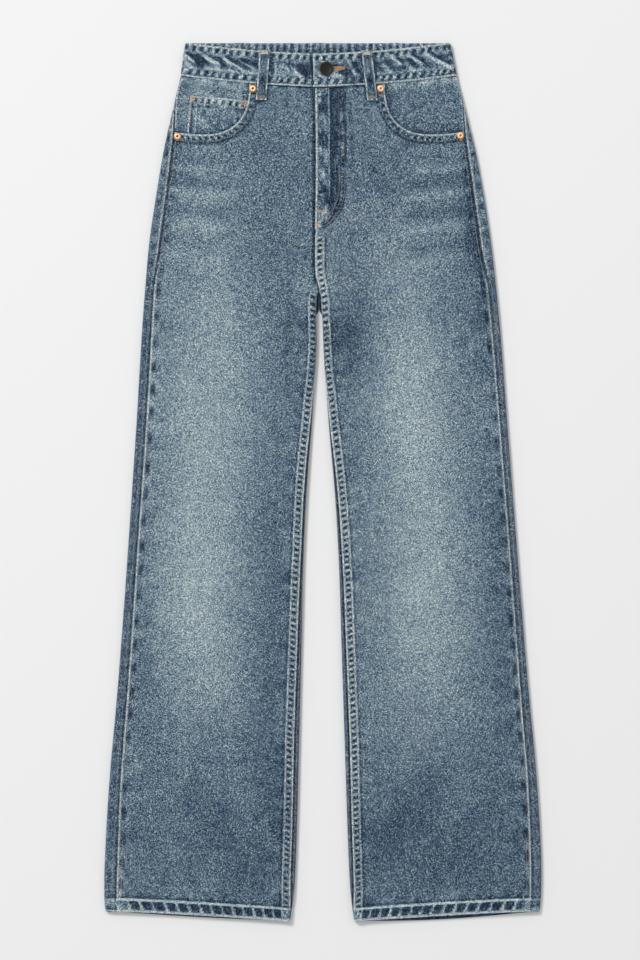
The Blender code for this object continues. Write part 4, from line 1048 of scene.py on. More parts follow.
def backWearAndShade(side, down, fromIn, fromOut, flatX, k):
    # Tone, with wear and painted shadow, and relief of a back panel's outer face
    look = backPiece
    onIn = k < nearCount + 6
    onOut = k >= nearCount + len(flatShares) - 6
    tone = backWashAndFoldShade(flatX, down)
    wear = np.zeros_like(tone)
    shut = backClosing(down)
    tone = np.where(onIn, mix(tone, 0.40, 0.7), np.where(onOut, mix(tone, 0.43, 0.7), tone))
    puckers = blobs(down, 19.0, 91 + side)
    upper = 1 - ease(down, 262, 300)
    strip = onOut * (1 - ease(fromOut, 9, 13))
    tone += strip * upper * (look["sideEdge"] * line(fromOut, 2.0, 1.1) - 0.30 * line(fromOut, 0.2, 0.7))
    tone += strip * upper * (0.12 - look["sidePuckers"] * puckers) * ease(fromOut, 3.0, 4.4)
    below = 0.06 * line(fromOut, 3.2, 1.2) - 0.20 * line(fromOut, 0.3, 0.9) - 0.04 - 0.14 * puckers
    tone += strip * (1 - upper) * below
    tone += strip * ease(down, 960, 1010) * 0.2 * line(fromOut, 5.0, 0.8)
    wear += strip * (0.15 - 0.5 * puckers * upper - 0.12 * puckers - 0.4 * np.exp(-fromOut / 0.6))
    ticks = roping(down, 7.0, 93 + side)
    inner = onIn * shut * (1 - ease(fromIn, 7, 10))
    # The dark line along the seam is painted shadow
    tone += inner * (-0.34 * line(fromIn, 0.6, 1.4) - 0.06 + 0.08 * ticks)
    wear += inner * (0.1 * ticks - 0.4 * np.exp(-fromIn / 0.6))
    rise = onIn * (1 - shut)
    fromRise = np.where(k < nearCount, fromIn, side * (flatX - middle(down)) - backEdge(side, down))
    tone += rise * (look["riseEdge"] * line(fromRise, 1.1, 0.9) - 0.34 * line(fromRise, -0.1, 0.6))
    tone += rise * 0.26 * ticks * between(fromRise, 1.6, 2.4, 7, 8.5)
    tone += rise * (0.30 * line(fromRise, 9.2, 1.2) - 0.20 * line(fromRise, 12.0, 1.6))
    seam = down - yokeSeam(flatX)
    tone += look["yokeEdge"] * line(seam, 1.6, 0.9) + 0.30 * line(seam, 9.8, 0.9) - 0.22 * line(seam, 12.4, 1.6)
    tone += 0.32 * roping(flatX, 8.0, 95) * between(seam, 2.2, 3, 8, 9)
    wear -= 0.4 * fading(seam, 0.6)
    pocket = outsidePocket(flatX, down, side)
    # Painted shadow round the back pocket
    tone -= 0.34 * line(pocket, 1.2, 1.8)
    tone += 0.07 * noise(flatX / 5, down / 5, 97) * (1 - ease(pocket, 2, 12)) * (pocket > 0)
    inward = backHem(side, 0.0, down[:1])[1]
    h = down - (hemLine(inward) - hemHeight + hemBackDrop[side] * np.sin(math.pi * inward))
    blocks = roping(flatX + 0.42 * side * h, 14.4, 98, 0.1, 0.16)
    inHem = between(h, 1.6, 2.6, 12.2, 13.4)
    tone += inHem * (0.30 - look["hemBlocks"] * ease(blocks, -0.7, -0.1))
    tone += 0.52 * line(h, 14.5, 1.3) + look["hemEdge"] * line(h, 0.6, 1.2)
    # The dark line above the hem is painted shadow of its raised edge
    tone -= 0.24 * line(h, -2.2, 1.2)
    wear -= 0.25 * inHem * ease(blocks, -0.2, 0.5) + 0.35 * ease(h, 15.2, 16.0)
    return tone, np.clip(wear, -0.55, 0.35)


for side, word in sides.items():
    makeBack(side, word)
    finishCloth(f"front_{word}", frontPanels[side])

print("yokes")


def makeYoke(side, word):
    away = np.concatenate([[0.15, 1, 2, 3.2, 4.5, 6, 7.5, 9], np.arange(10.5, 150, 1.6), [151.5, 153.5, 155.5]])
    far = np.linspace(0, 1, 22)
    top = bandHeight + seamGap
    rows = np.linspace(0, 1, 44)[:, None]

    def face(down, wear, inside):
        count = len(away)
        x = middle(0.0) + side * np.broadcast_to(away, (down.shape[0], count))
        x = np.where(np.arange(count) == 0, middle(down[:, :count]) + side * 0.15, x)
        flat = carried(x, down[:, :count], side) - np.minimum(wear[:, :count], 0)
        height = flat + (cloth if inside else 0.0)
        downFar = down[:, count:]
        riseOut = rimRise(side, downFar, halfWidth(downFar) - foldRadius)
        arc = mix(-quarterLength(riseOut), outseamArc(side, downFar) - seamGap / 2, far)
        lift = -cloth if inside else wear[:, count:]
        sink = (cloth if inside else 0.0) - np.minimum(wear[:, count:], 0)
        lift, sink = np.broadcast_to(lift, arc.shape), np.broadcast_to(sink, arc.shape)
        xFar, _, heightFar = outerFold(side, downFar, arc, lift, sink)
        x = np.concatenate([x, xFar], 1)
        left = outseamArc(side, downFar) - arc
        return toPoints(x, down, np.concatenate([height, heightFar], 1)), left

    zero = np.zeros((1, len(away) + len(far)))
    end = np.full_like(zero, 90.0)
    for _ in range(6):
        end = yokeSeam(face(end, zero, False)[0][..., 0])
    down = mix(top, end, rows)
    points, left = face(down, np.zeros_like(down), False)
    x, below = points[..., 0], down - top
    fan = noise(x / 4.2, below / 18, 62) * np.exp(-below / 7)
    # Painted shade under the band's edge, along the yoke seam and beside the back loops
    tone = backWashAndFoldShade(x, down) + yokePiece["lighter"] + yokePiece["gathers"] * fan - 0.25 * np.exp(-below / 1.2)
    tone += 0.10 * line(end - down, 1.4, 1.0) - 0.12 * np.exp(-(end - down) / 1.2)
    tone -= 0.2 * line(outsideLoops(x, down), 1.0, 1.6)
    distance = np.concatenate([np.full((len(rows), len(away)), 30.0), left], 1)
    tone += 0.3 * line(distance, 0.9, 0.8)
    wear = 0.25 * fan - 0.3 * np.exp(-below / 0.6) - 0.3 * np.exp(-(end - down) / 0.6)
    wear = np.clip(wear, -0.6, 0.2)
    outer, inner = face(down, wear, False)[0], face(down, wear, True)[0]
    piece = addShell(f"yoke_{word}_panel", outer, inner, denimOuter, tone)
    finishCloth(f"yoke_{word}", piece)


for side, word in sides.items():
    makeYoke(side, word)

# Waistband, from its upper end over the fly round the back to its lower end

bandPiece = {
    "width": 44, "length": 700, "share": 0.97,  # the flat cut
    "tone": 0.47, "topEdge": 0.76, "endEdge": 0.86, "topBlocks": 0.60, "endBlocks": 0.58, "creases": 2.6,
}
# worn creases: start x, start down, end x, end down, half width, tone
bandCreases = [
    (-168.7, 13.4, -154, 25.6, 1.5, 0.42), (-164.5, 11, -149.8, 23.2, 1.6, -0.34),
    (-149.1, 14.6, -122.3, 28.1, 1.6, 0.44), (-146, 11.2, -119, 24.6, 1.7, -0.36),
    (-122.3, 18.3, -94.2, 35.4, 1.6, 0.42), (-119, 14.8, -91, 31.9, 1.8, -0.36),
    (-102.8, 20.7, -82, 32.9, 1.3, 0.30), (-99, 17.5, -79, 29.5, 1.5, -0.26),
    (80.2, 13.4, 97.3, 28.1, 1.5, 0.36), (84, 11, 101, 25.4, 1.6, -0.32),
    (101, 13, 124.1, 27.6, 1.6, 0.42), (104.5, 10, 127.4, 24.4, 1.7, -0.36),
    (124.1, 12.5, 143.7, 24.7, 1.5, 0.40), (127.4, 9.4, 147, 21.4, 1.6, -0.34),
    (138.8, 20.3, 158.3, 32.5, 1.4, 0.36), (142, 17.4, 161.5, 29.4, 1.5, -0.30),
    (31.4, 20.6, 41.2, 42, 1.4, 0.30), (41.2, 22, 31.4, 39.4, 1.4, -0.30),
    (-57.6, 18, -57.2, 50, 1.4, 0.26), (-61.6, 16, -61.2, 50, 2.2, -0.30),
    (-46, 22, -22, 46, 1.5, 0.22), (-42, 20, -18, 43, 1.6, -0.20),
]


def bandFace(kind, value, along, rise, inside=False):
    # Points of the band; kind is 0 top, 1 left fold, 2 back, 3 right fold, 4 top on the right and the underlap
    lift = -bandCloth if inside else rise
    sink = bandCloth if inside else -np.minimum(rise, 0)
    side = np.where(kind == 1, 1, -1)
    quarter = quarterLength(usualHeight + bandRise, bandRadius)
    angled, height = foldPoint(value * quarter, usualHeight + bandRise, lift, sink, bandRadius)
    foldX = middle(along) + side * (halfWidth(along) - angled)
    flatX = bandX(value, along)
    under = 2.3 * ease(value, -22.0, -13.0) * (kind == 4)
    top = bandTop(flatX) + lift - under
    below = sink + 1.9 * (1 - ease(outsideLoops(flatX, along), 0.4, 3.6))
    fold = (kind == 1) | (kind == 3)
    x = np.where(fold, foldX, flatX)
    down = np.where((kind == 0) | (kind == 4), bandDip(value) + along, along)
    return toPoints(x, down, np.where(fold, height, np.where(kind == 2, below, top)))


def bandColumns():
    centre, reach = float(middle(0.0)), waistHalf - bandRadius - 0.4
    top = [bandEndX + step for step in (0, 0.4, 0.9, 1.6, 2.6)]
    top += list(np.linspace(bandEndX + 4.2, centre + reach - 2, 76))
    turn = list(np.linspace(1, -1, 15))
    back = list(np.linspace(centre + reach - 2, centre - reach + 2, 156))
    right = list(np.linspace(centre - reach + 2, -22, 66))
    under = list(np.linspace(-20.5, bandEndX + underlap, 26))
    kinds = [0] * len(top) + [1] * 15 + [2] * len(back) + [3] * 15 + [4] * (len(right) + len(under))
    return np.array(kinds)[None, :], np.array(top + turn + back + [-t for t in turn] + right + under)[None, :]


def bandStretch(kind, value, x):
    # x along the band, carried on round its folds
    return np.where(kind == 1, 165 + 8 * (1 - value), np.where(kind == 3, -165 - 8 * (1 - value), x))


def bandWearAndShade(x, along, down, front):
    # Tone, with wear and painted shadow, and relief of the band's outer face
    look = bandPiece
    tone = look["tone"] + 0.09 * noise(x / 9, along / 8, 101) + 0.06 * noise(x / 3.4, along / 3.4, 102)
    topRow = between(along, 1.8, 2.6, 7.6, 8.8)
    endRow = between(along, 30.6, 31.8, 36.6, 37.6)
    topBlocks, endBlocks = roping(x + 0.3 * along, 9.6, 103), roping(x + 0.5 * along, 9.4, 105)
    tone += look["topBlocks"] * topRow * topBlocks + endRow * (look["endBlocks"] * endBlocks + 0.02)
    tone += look["topEdge"] * line(along, 0.8, 1.2) + look["endEdge"] * line(along, 39.3, 1.2)
    tone -= 0.12 * line(along, 37.4, 0.8)
    across = 0.75 + 0.45 * noise(x / 26, 0.5, 104)
    tone += across * (0.26 * line(along, 9.8, 1.3) - 0.32 * line(along, 14.8, 1.9) - 0.22 * line(along, 22.2, 1.6))
    tone += across * 0.34 * line(along, 28.2, 1.5)
    creased = strokes(x, down, bandCreases) * front
    plain = noise((x - along) / 7.0, (x + along) / 26.0, 107) * between(along, 10, 14, 28, 31)
    # Painted shadow beside the front loops, and in a patch right of the button where the band sags
    tone -= 0.55 * besideLoops(x, down) * front
    tone += np.where(creased > 0, look["creases"], 1.5) * creased + 0.60 * plain
    tone -= 0.05 * ease(x, 20, 60) + 0.22 * front * line(x, 33.0, 12.0) * ease(along, 9, 14)
    rise = 0.34 * topRow * topBlocks + 0.40 * endRow * endBlocks + 0.75 * creased + 0.18 * plain
    rise -= 0.7 * np.exp(-along / 0.8) + 0.7 * np.exp(-(bandHeight - along) / 0.8)
    rise -= 0.28 * line(along, 2.2, 0.7) + 0.28 * line(along, 38.2, 0.7)
    return tone, rise


def makeBand():
    kind, value = bandColumns()
    along = np.concatenate([[0, 0.35, 0.9, 1.6], np.linspace(2.5, 38, 34), [38.8, 39.5, 40.0, 40.3]])[:, None]
    kind, value, along = np.broadcast_arrays(kind, value, along)
    flat = bandFace(kind, value, along, np.zeros(kind.shape))
    x, down = flat[..., 0], length / 2 - flat[..., 1]
    stretch = bandStretch(kind, value, x)
    tone, rise = bandWearAndShade(stretch, along, down, (kind != 2).astype(float))
    end = (value - bandEndX) * (kind == 0) + 50.0 * (kind != 0)
    tone += 0.70 * line(end, 0.9, 1.2) - 0.16 * line(end, 4.4, 1.4)
    rise -= 0.6 * np.exp(-end / 0.6)
    hidden = (kind == 4) & (value > bandEndX - 3)
    # Painted shadow on the underlap beside the band's upper end
    tone -= 0.5 * line(value, bandEndX - 1.5, 2.0) * (kind == 4)
    rise = np.where(hidden, np.minimum(rise, 0.0), rise)
    ticks = roping(stretch, 8.6, 109)
    insideTone = 0.45 + 0.34 * ticks + 0.08 * noise(stretch / 4, along / 4, 110)
    insideTone += 0.20 * line(along, 1.2, 1.2) - 0.16 * ease(along, 5, 12)
    outer = bandFace(kind, value, along, rise)
    inner = bandFace(kind, value, along, 0.0, inside=True)
    inner[..., 2] += np.where(kind == 2, 0.2 * ticks, 0.0)
    band = addShell("waistband_piece", outer, inner, denimOuter, tone, insideTone, step=1)
    cutButtonhole(band)
    finishCloth("waistband", band)


def cutButtonhole(band):
    # The eye and slit, cut through the band's upper layer alone
    low, high = bandTop(eyeX) - bandCloth - seamGap / 2, 20.0
    eye = [(eyeX + 3.2 * math.cos(a), buttonDown + 3.2 * math.sin(a)) for a in np.radians(np.arange(0, 360, 12))]
    slit = [(eyeX + x, buttonDown + down) for x, down in ((2.6, -1), (20, -1), (20, 1), (2.6, 1))]
    cutters = []
    for outline in (eye, slit):
        bm = bmesh.new()
        corners = [bm.verts.new((x / 1000, (length / 2 - down) / 1000, low / 1000)) for x, down in outline]
        raised = bmesh.ops.extrude_face_region(bm, geom=[bm.faces.new(corners)])["geom"]
        moved = [item for item in raised if isinstance(item, bmesh.types.BMVert)]
        bmesh.ops.translate(bm, verts=moved, vec=(0, 0, (high - low) / 1000))
        bmesh.ops.recalc_face_normals(bm, faces=bm.faces)
        mesh = bpy.data.meshes.new("cutter")
        bm.to_mesh(mesh)
        bm.free()
        cutter = newObject("cutter", mesh)
        modifier = band.modifiers.new("cut", "BOOLEAN")
        modifier.operation = "DIFFERENCE"
        modifier.solver = "EXACT"
        modifier.object = cutter
        cutters.append(cutter)
    keepEvaluated(band)
    for cutter in cutters:
        bpy.data.objects.remove(cutter)


makeBand()

# Pocket facings, coin pocket and fly facing

facingPiece = {"width": 110, "length": 84, "share": 0.78, "shade": 0.55, "gathers": 0.30}
coinPiece = {"width": 77, "length": 53, "share": 0.93, "edge": 0.84, "blocks": 0.46, "shade": 0.52}
flyPiece = {"width": 43, "length": 182, "share": 0.9, "tone": 0.40}


def coinTop(x):
    return 64.2 + 0.089 * (x + 161.0)


def facingDrop(side, x, down):
    away = np.abs(x - pocketMiddle)
    inside = np.minimum(pocketCurve(away) - down, away - pocketNear)
    drop = mix(cloth + seamGap, seamGap, ease(inside, 6, 20))
    if side < 0:
        beside = 1 - ease(-161.0 - x, 11, 16)
        below = ease(down - coinTop(x), -14, -8)
        drop = np.maximum(drop, 2.8 * beside * below)
    return drop


def makeFacing(side, word):
    away = np.arange(71.8, 156, 1.5)
    offset = np.array([10, 8.6, 7.2, 5.8, 4.6, 3.5, 2.5, 1.6, 0.9, 0.3])
    share = np.linspace(0, 1, 52)[:, None]
    x = pocketMiddle + side * away
    down = mix(waistSeam(x) + seamGap, pocketCurve(away, 12.0), share)
    seamTop = waistSeam(middle(45.0) + side * (waistHalf - offset)) + seamGap
    downSeam = mix(seamTop, pocketCurve(pocketSide, 12.0), share)
    seamX = middle(downSeam) + side * (halfWidth(downSeam) - outseamInset(side, downSeam) - offset)
    allX = np.concatenate([np.broadcast_to(x, down.shape), seamX], 1)
    allDown = np.concatenate([down, downSeam], 1)
    depth = -pocketDistance(allX, allDown)
    under = allDown - waistSeam(allX)
    fan = noise(allX / 4.6, under / 16, 121 + side)
    # Painted shade inside the pocket opening along its edge, and painted shadow under the band's lower edge
    tone = washAndFoldShade(allX, allDown) - facingPiece["shade"] * fading(depth, 3.2) * (depth > -12)
    tone += facingPiece["gathers"] * fan * fading(under, 9) - 0.3 * fading(under, 1.0)
    tone += 0.16 * line(under, 4.0, 5.0) + 0.10 * noise(allX / 4 + under / 9, under / 5, 125)
    fromSide = np.concatenate([np.full(down.shape, 40.0), np.broadcast_to(offset, downSeam.shape)], 1)
    tone += 0.36 * line(fromSide, 1.2, 0.9) + 0.04 * noise(allX / 6, allDown / 6, 123)
    rise = 0.24 * fan * fading(under, 9) * ease(depth, 1, 5)
    drop = facingDrop(side, allX, allDown)
    faces = []
    for inside in (False, True):
        lift = -drop - (cloth if inside else -rise)
        split = down.shape[1]
        flat = toPoints(allX[:, :split], down, frontHeight(allX[:, :split], down) + lift[:, :split])
        arc = outseamArc(side, downSeam) + offset
        bent = toPoints(*outerFold(side, downSeam, arc, lift[:, split:], np.zeros_like(arc)))
        faces.append(np.concatenate([flat, bent], 1))
    piece = addShell(f"pocket_facing_{word}_piece", *faces, denimOuter, tone)
    finishCloth(f"pocket_facing_{word}", piece)


for side, word in sides.items():
    makeFacing(side, word)


def makeCoinPocket():
    across, share = np.meshgrid(np.linspace(0, 1, 78), np.linspace(0, 1, 56))
    x = mix(-161.0 - 4 * share, -88.0, across)
    down = mix(coinTop(x), 116.0, share)
    d = down - coinTop(x)
    fromLeft, fromRight = x - (-161.0 - 4 * share), -88.0 - x
    blocks = roping(x + 0.3 * d, 8.4, 131)
    border = between(d, 2.0, 2.8, 7.6, 8.6)
    tone = washAndFoldShade(x, down) - 0.02 + 0.20 * noise(x / 6, down / 6, 132) + 0.12 * noise(x / 2.6, down / 2.8, 133)
    tone += coinPiece["edge"] * (line(d, 0.9, 1.1) + line(fromLeft, 0.9, 1.1)) + coinPiece["blocks"] * border * blocks
    tone += 0.20 * line(d, 9.6, 0.9) - 0.18 * line(d, 11.6, 1.2)
    tone += 0.30 * line(fromLeft, 9.0, 0.9) - 0.30 * line(fromLeft, 3.4, 1.6) - 0.2 * line(fromLeft, 11.2, 1.2)
    tone += 0.20 * line(fromRight, 12.5, 0.9) - 0.18 * line(fromRight, 15.0, 1.2) + 0.16 * line(fromRight, 6.5, 0.8)
    depth = -pocketDistance(x, down)
    # Painted shade where the coin pocket runs under the pocket opening's edge
    tone -= coinPiece["shade"] * fading(depth, 3.0) * (depth > -6)
    room = ease(depth, 0.5, 3.0)
    rise = room * (0.30 * (1 - ease(d, 8.8, 10)) + 0.2 * border * blocks + 0.12 * noise(x / 6, down / 6, 132))
    rise -= 0.3 * np.exp(-d / 0.5) + 0.3 * np.exp(-fromLeft / 0.5)
    height = frontHeight(x, down) - 1.5
    outer, inner = toPoints(x, down, height + rise), toPoints(x, down, height - 1.0)
    piece = addShell("coin_pocket_piece", outer, inner, denimOuter, tone)
    finishCloth("coin_pocket", piece)


makeCoinPocket()


def makeFlyFacing():
    across, share = np.meshgrid(np.linspace(0, 1, 24), np.linspace(0, 1, 80))
    down = mix(62.0, flyEnd - 1.5, share)
    width = flyWidth * np.sqrt(1 - np.clip((down - flyStraight) / (flyEnd - flyStraight), 0, 1) ** 2)
    x = curve(flyTable, down, 1) + 0.2 + width * across
    down = np.maximum(down, np.where(share == 0, waistSeam(x) + seamGap, 0))
    down[0] = waistSeam(x[0]) + seamGap
    height = frontHeight(x, down) + flyRise - cloth - seamGap
    tone = flyPiece["tone"] + 0.06 * noise(x / 5, down / 5, 141)
    outer, inner = toPoints(x, down, height), toPoints(x, down, height - cloth)
    piece = addShell("fly_facing_piece", outer, inner, denimOuter, tone)
    finishCloth("fly_facing", piece)


makeFlyFacing()

# Back pockets

backPocketPiece = {"width": 132, "length": 150, "share": 0.90, "lighter": 0.03, "edge": 0.54, "blocks": 0.38}


def makeBackPocket(side, word):
    across, share = np.meshgrid(np.linspace(-1, 1, 90), np.linspace(0, 1, 100))
    rise = backPocketPoint * np.abs(across)
    down = mix(backPocketTop, backPocketEnd - rise, share)
    wide = backPocketHalf - backPocketTaper * np.clip((down - backPocketTop) / 128.0, 0, 1)
    x = middle(backPocketTop) + side * backPocketAway + wide * across
    edge = -outsidePocket(x, down, side)
    d = down - backPocketTop
    blocks, walk = roping(x + 0.3 * d, 8.6, 151), roping(down + x, 8.4, 153)
    top = between(d, 2.2, 3.2, 12, 13.2)
    tone = backWashAndFoldShade(x, down) + backPocketPiece["lighter"] + backPocketPiece["blocks"] * top * blocks
    tone += 0.28 * line(d, 14.6, 0.9) - 0.22 * line(d, 16.6, 1.4)
    sideBorder = between(edge, 1.8, 2.6, 7.4, 8.4) * (d > 13)
    tone += backPocketPiece["edge"] * line(edge, 0.8, 0.9) + 0.30 * sideBorder * walk
    tone += 0.22 * line(edge, 9.4, 0.9) * (d > 13)
    pressed = 0.12 - 0.10 * top * blocks - 0.06 * sideBorder * walk + 0.10 * noise(x / 14, down / 14, 155)
    pressed = np.clip(pressed + 0.35 * fading(edge, 0.5), 0, 0.5)
    outer, inner = toPoints(x, down, pressed), toPoints(x, down, cloth)
    piece = addShell(f"back_pocket_{word}_piece", outer, inner, denimOuter, tone)
    finishCloth(f"back_pocket_{word}", piece)


for side, word in sides.items():
    makeBackPocket(side, word)

# Belt loops

loopPiece = {"width": 12.7, "length": 62.0, "share": 1.0, "tone": 0.48, "edge": 0.80, "thickness": 1.6}


def loopTone(across, down, top, end, seed):
    edge = loopHalf - np.abs(across)
    worn = 0.7 + 0.6 * noise(across / 6, down / 6, seed + 2)
    tone = loopPiece["tone"] + 0.22 * noise(across / 2.4, down / 6, seed)
    tone += loopPiece["edge"] * worn * line(edge, 0.7, 1.0) - 0.18 * line(edge, 2.5, 0.8)
    tone += 0.12 * roping(down, 6.2, seed) * line(edge, 1.2, 1.0) + 0.12 * noise(across / 5, down / 14, seed + 1)
    tone -= 0.14 * line(down, mix(top, end, 0.56), 5.0)
    tone += 0.36 * line(down, top + 0.6, 1.0) + 0.42 * line(down, end - 0.8, 1.0)
    return tone - 0.16 * (line(down, top + 5.4, 0.9) + line(down, end - 5.6, 0.9))


def loopHeight(word, x, down):
    # Height of a front loop's underside
    x0, _, x1, _ = frontLoops[word]
    seam = float(waistSeam((x0 + x1) / 2))
    return mix(bandTop(x), frontHeight(x, down), ease(down, seam + 0.5, seam + 8)) + 0.45


def loopBow(word, down):
    # How far a front loop stands up between its sewn ends
    x0, down0, x1, down1 = frontLoops[word]
    seam = float(waistSeam((x0 + x1) / 2))
    return line(down, seam - 8, 9) - line(down, down0 + 4, 2.5) - line(down, down1 - 4, 2.5)


def makeFrontLoop(word):
    x0, down0, x1, down1 = frontLoops[word]
    share, across = np.meshgrid(np.linspace(0, 1, 84), np.linspace(-loopHalf, loopHalf, 19), indexing="ij")
    down = mix(down0, down1, share)
    x = mix(x0, x1, share) + across
    height = loopHeight(word, x, down)
    crown = 0.5 * np.cos(across / loopHalf * 1.4) - 0.6 * np.exp(-(loopHalf - np.abs(across)) / 0.5)
    crown += 0.12 * noise(across / 4, down / 5, 161) + 0.5 * loopBow(word, down)
    outer = toPoints(x, down, height + loopPiece["thickness"] + crown * 0.6)
    inner = toPoints(x, down, height)
    tone = loopTone(across, down, down0, down1, 162)
    piece = addShell(f"belt_loop_front_{word}_piece", outer, inner, denimLoop, tone, step=3)
    finishCloth(f"belt_loop_front_{word}", piece)


for word in frontLoops:
    makeFrontLoop(word)

for word, away in backLoops.items():
    share, across = np.meshgrid(np.linspace(0, 1, 70), np.linspace(-loopHalf, loopHalf, 19), indexing="ij")
    down = 50.0 * share
    x = middle(0.0) + away + across
    pressed = 0.10 + 0.35 * np.exp(-(loopHalf - np.abs(across)) / 0.5) + 0.08 * noise(across / 4, down / 5, 163)
    outer, inner = toPoints(x, down, pressed), toPoints(x, down, loopPiece["thickness"])
    tone = loopTone(across, down, 0, 50, 164)
    loop = addShell(f"belt_loop_back_{word}_piece", outer, inner, denimLoop, tone, step=3)
    finishCloth(f"belt_loop_back_{word}", loop)

# Button and rivets

metalStops = {
    "button_metal": [(0.0, (22, 22, 23)), (0.6, (40, 40, 41)), (1.0, (92, 91, 90))],
    "rivet_copper": [(0.0, (44, 28, 20)), (0.35, (176, 108, 58)), (0.7, (232, 176, 116)), (1.0, (255, 236, 204))],
}


def metal(name, roughness, metallic):
    # Metal whose colour follows each point's tone, with a little patina
    material, tree, principled = shader(name, roughness, metallic)
    place = tree.nodes.new("ShaderNodeTexCoord").outputs["Object"]
    patina = mathNode(tree, "MULTIPLY", mathNode(tree, "SUBTRACT", noiseNode(tree, place, 700, 2, 0.6), 0.5), 0.5)
    colourBy(tree, principled, mathNode(tree, "ADD", toneOf(tree), patina), metalStops[name])
    return material


buttonMetal = metal("button_metal", 0.5, 0.6)
copper = metal("rivet_copper", 0.36, 0.3)


def turned(name, x, down, seat, profile, steps, material):
    # A turned piece from (radius, height, tone) points, from its top's middle down its side to its lower middle
    angles = np.linspace(0, 2 * math.pi, steps, endpoint=False)
    points = [(x, length / 2 - down, seat + profile[0][1])]
    for radius, height, _ in profile[1:-1]:
        points += [(x + radius * math.cos(a), length / 2 - down + radius * math.sin(a), seat + height) for a in angles]
    points.append((x, length / 2 - down, seat + profile[-1][1]))
    faces = []
    last, lowest = len(points) - 1, 1 + (len(profile) - 3) * steps  # the lower middle, the lowest ring's first point
    for k in range(steps):
        n = (k + 1) % steps
        faces.append((0, 1 + k, 1 + n))
        for a in range(1, lowest, steps):
            faces.append((a + k, a + steps + k, a + steps + n, a + n))
        faces.append((lowest + k, last, lowest + n))
    tone = [profile[0][2]] + [row[2] for row in profile[1:-1] for _ in range(steps)] + [profile[-1][2]]
    return addMesh(name, np.array(points), faces, material, np.array(tone))


buttonSizes = {"radius": 8.7, "height": 3.2, "neck": 2.7}
r, top = buttonSizes["radius"], buttonSizes["height"]
profile = [(0, top - 0.75, 0.3), (r * 0.2, top - 0.72, 0.25), (r * 0.5, top - 0.62, 0.3), (r * 0.62, top - 0.5, 0.2)]
profile += [(r * 0.68, top - 0.15, 0.3), (r * 0.74, top, 0.5), (r * 0.84, top + 0.02, 0.55)]
profile += [(r * 0.93, top - 0.2, 0.75)]
profile += [(r * 0.985, top - 0.6, 0.6), (r, top - 1.1, 0.3), (r * 0.98, top - 1.6, 0.1), (r * 0.9, top - 2.1, 0.1)]
profile += [(r * 0.7, 0.5, 0.1), (buttonSizes["neck"], 0.4, 0.1), (buttonSizes["neck"], -1.7, 0.1), (0, -1.7, 0.1)]
button = turned("waist_button_turned", eyeX, buttonDown, float(bandTop(eyeX)), profile, 64, buttonMetal)
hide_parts("waist_button")
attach(button, "root")

rivetPlaces = {
    "right_inner": (-84.5, 56.2), "right_outer": (-176.4, 114.4),
    "left_inner": (71.4, 56.2), "left_outer": (168.4, 113.4),
}
rivetSizes = {"radius": 4.75, "height": 1.6, "above": 0.75}
for word, (x, down) in rivetPlaces.items():
    r, top = rivetSizes["radius"], rivetSizes["height"]
    steps = np.array([-r, 0, r])
    seat = float(np.max(frontHeight(x + steps[:, None], down + steps[None, :]))) + rivetSizes["above"]
    dot = word.startswith("right")
    # Tones near 1 on the crown of the ring are a painted highlight
    profile = [(0, top * 0.35, 0.0 if dot else 0.45), (r * 0.17, top * 0.38, 0.0 if dot else 0.3)]
    profile += [(r * 0.28, top * 0.72, 0.35), (r * 0.40, top * 0.98, 1.0), (r * 0.54, top, 1.0)]
    profile += [(r * 0.66, top * 0.86, 0.8), (r * 0.74, top * 0.72, 0.5), (r * 0.84, top * 0.66, 0.45)]
    profile += [(r * 0.92, top * 0.5, 0.6), (r * 0.98, top * 0.25, 0.3), (r, 0, 0.1), (0, 0, 0.1)]
    rivet = turned(f"rivet_{word}_turned", x, down, seat, profile, 40, copper)
    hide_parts(f"rivet_{word}")
    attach(rivet, "root")
print("button and rivets")

print("stitches")

# Stitches: short arched threads laid on the cloth by a node tree

stitchSizes = {"pitch": 3.2, "width": 0.62, "tackPitch": 0.62, "tackLength": 2.2, "uneven": 0.14, "seed": 7}
seamRows = {  # distances of the rows from each edge
    "inseam": (2.6, 8.6), "side": 3.4, "sideBelow": 6.6, "pocket": (2.3, 8.2), "coin": (2.2, 8.6),
    "band": ((2.2, "tan"), (37.6, "dark")), "loop": (-4.3, 4.3),
    "rise": (2.4, 8.0), "backPocket": (2.4, 8.2), "backPocketTop": (2.4, 12.4),
}
threadTones = {"pale": 0.0, "tan": 0.35, "gold": 0.44, "orange": 0.6, "brown": 0.85, "dark": 1.0}
thread, threadNodes, threadShader = shader("thread", 0.62)
threadShader.inputs["Sheen Weight"].default_value = 0.25
colourBy(threadNodes, threadShader, toneOf(threadNodes), [
    (0, (206, 198, 172)), (0.35, (134, 124, 108)), (0.6, (200, 152, 104)), (0.85, (96, 76, 66)), (1, (42, 44, 52)),
])


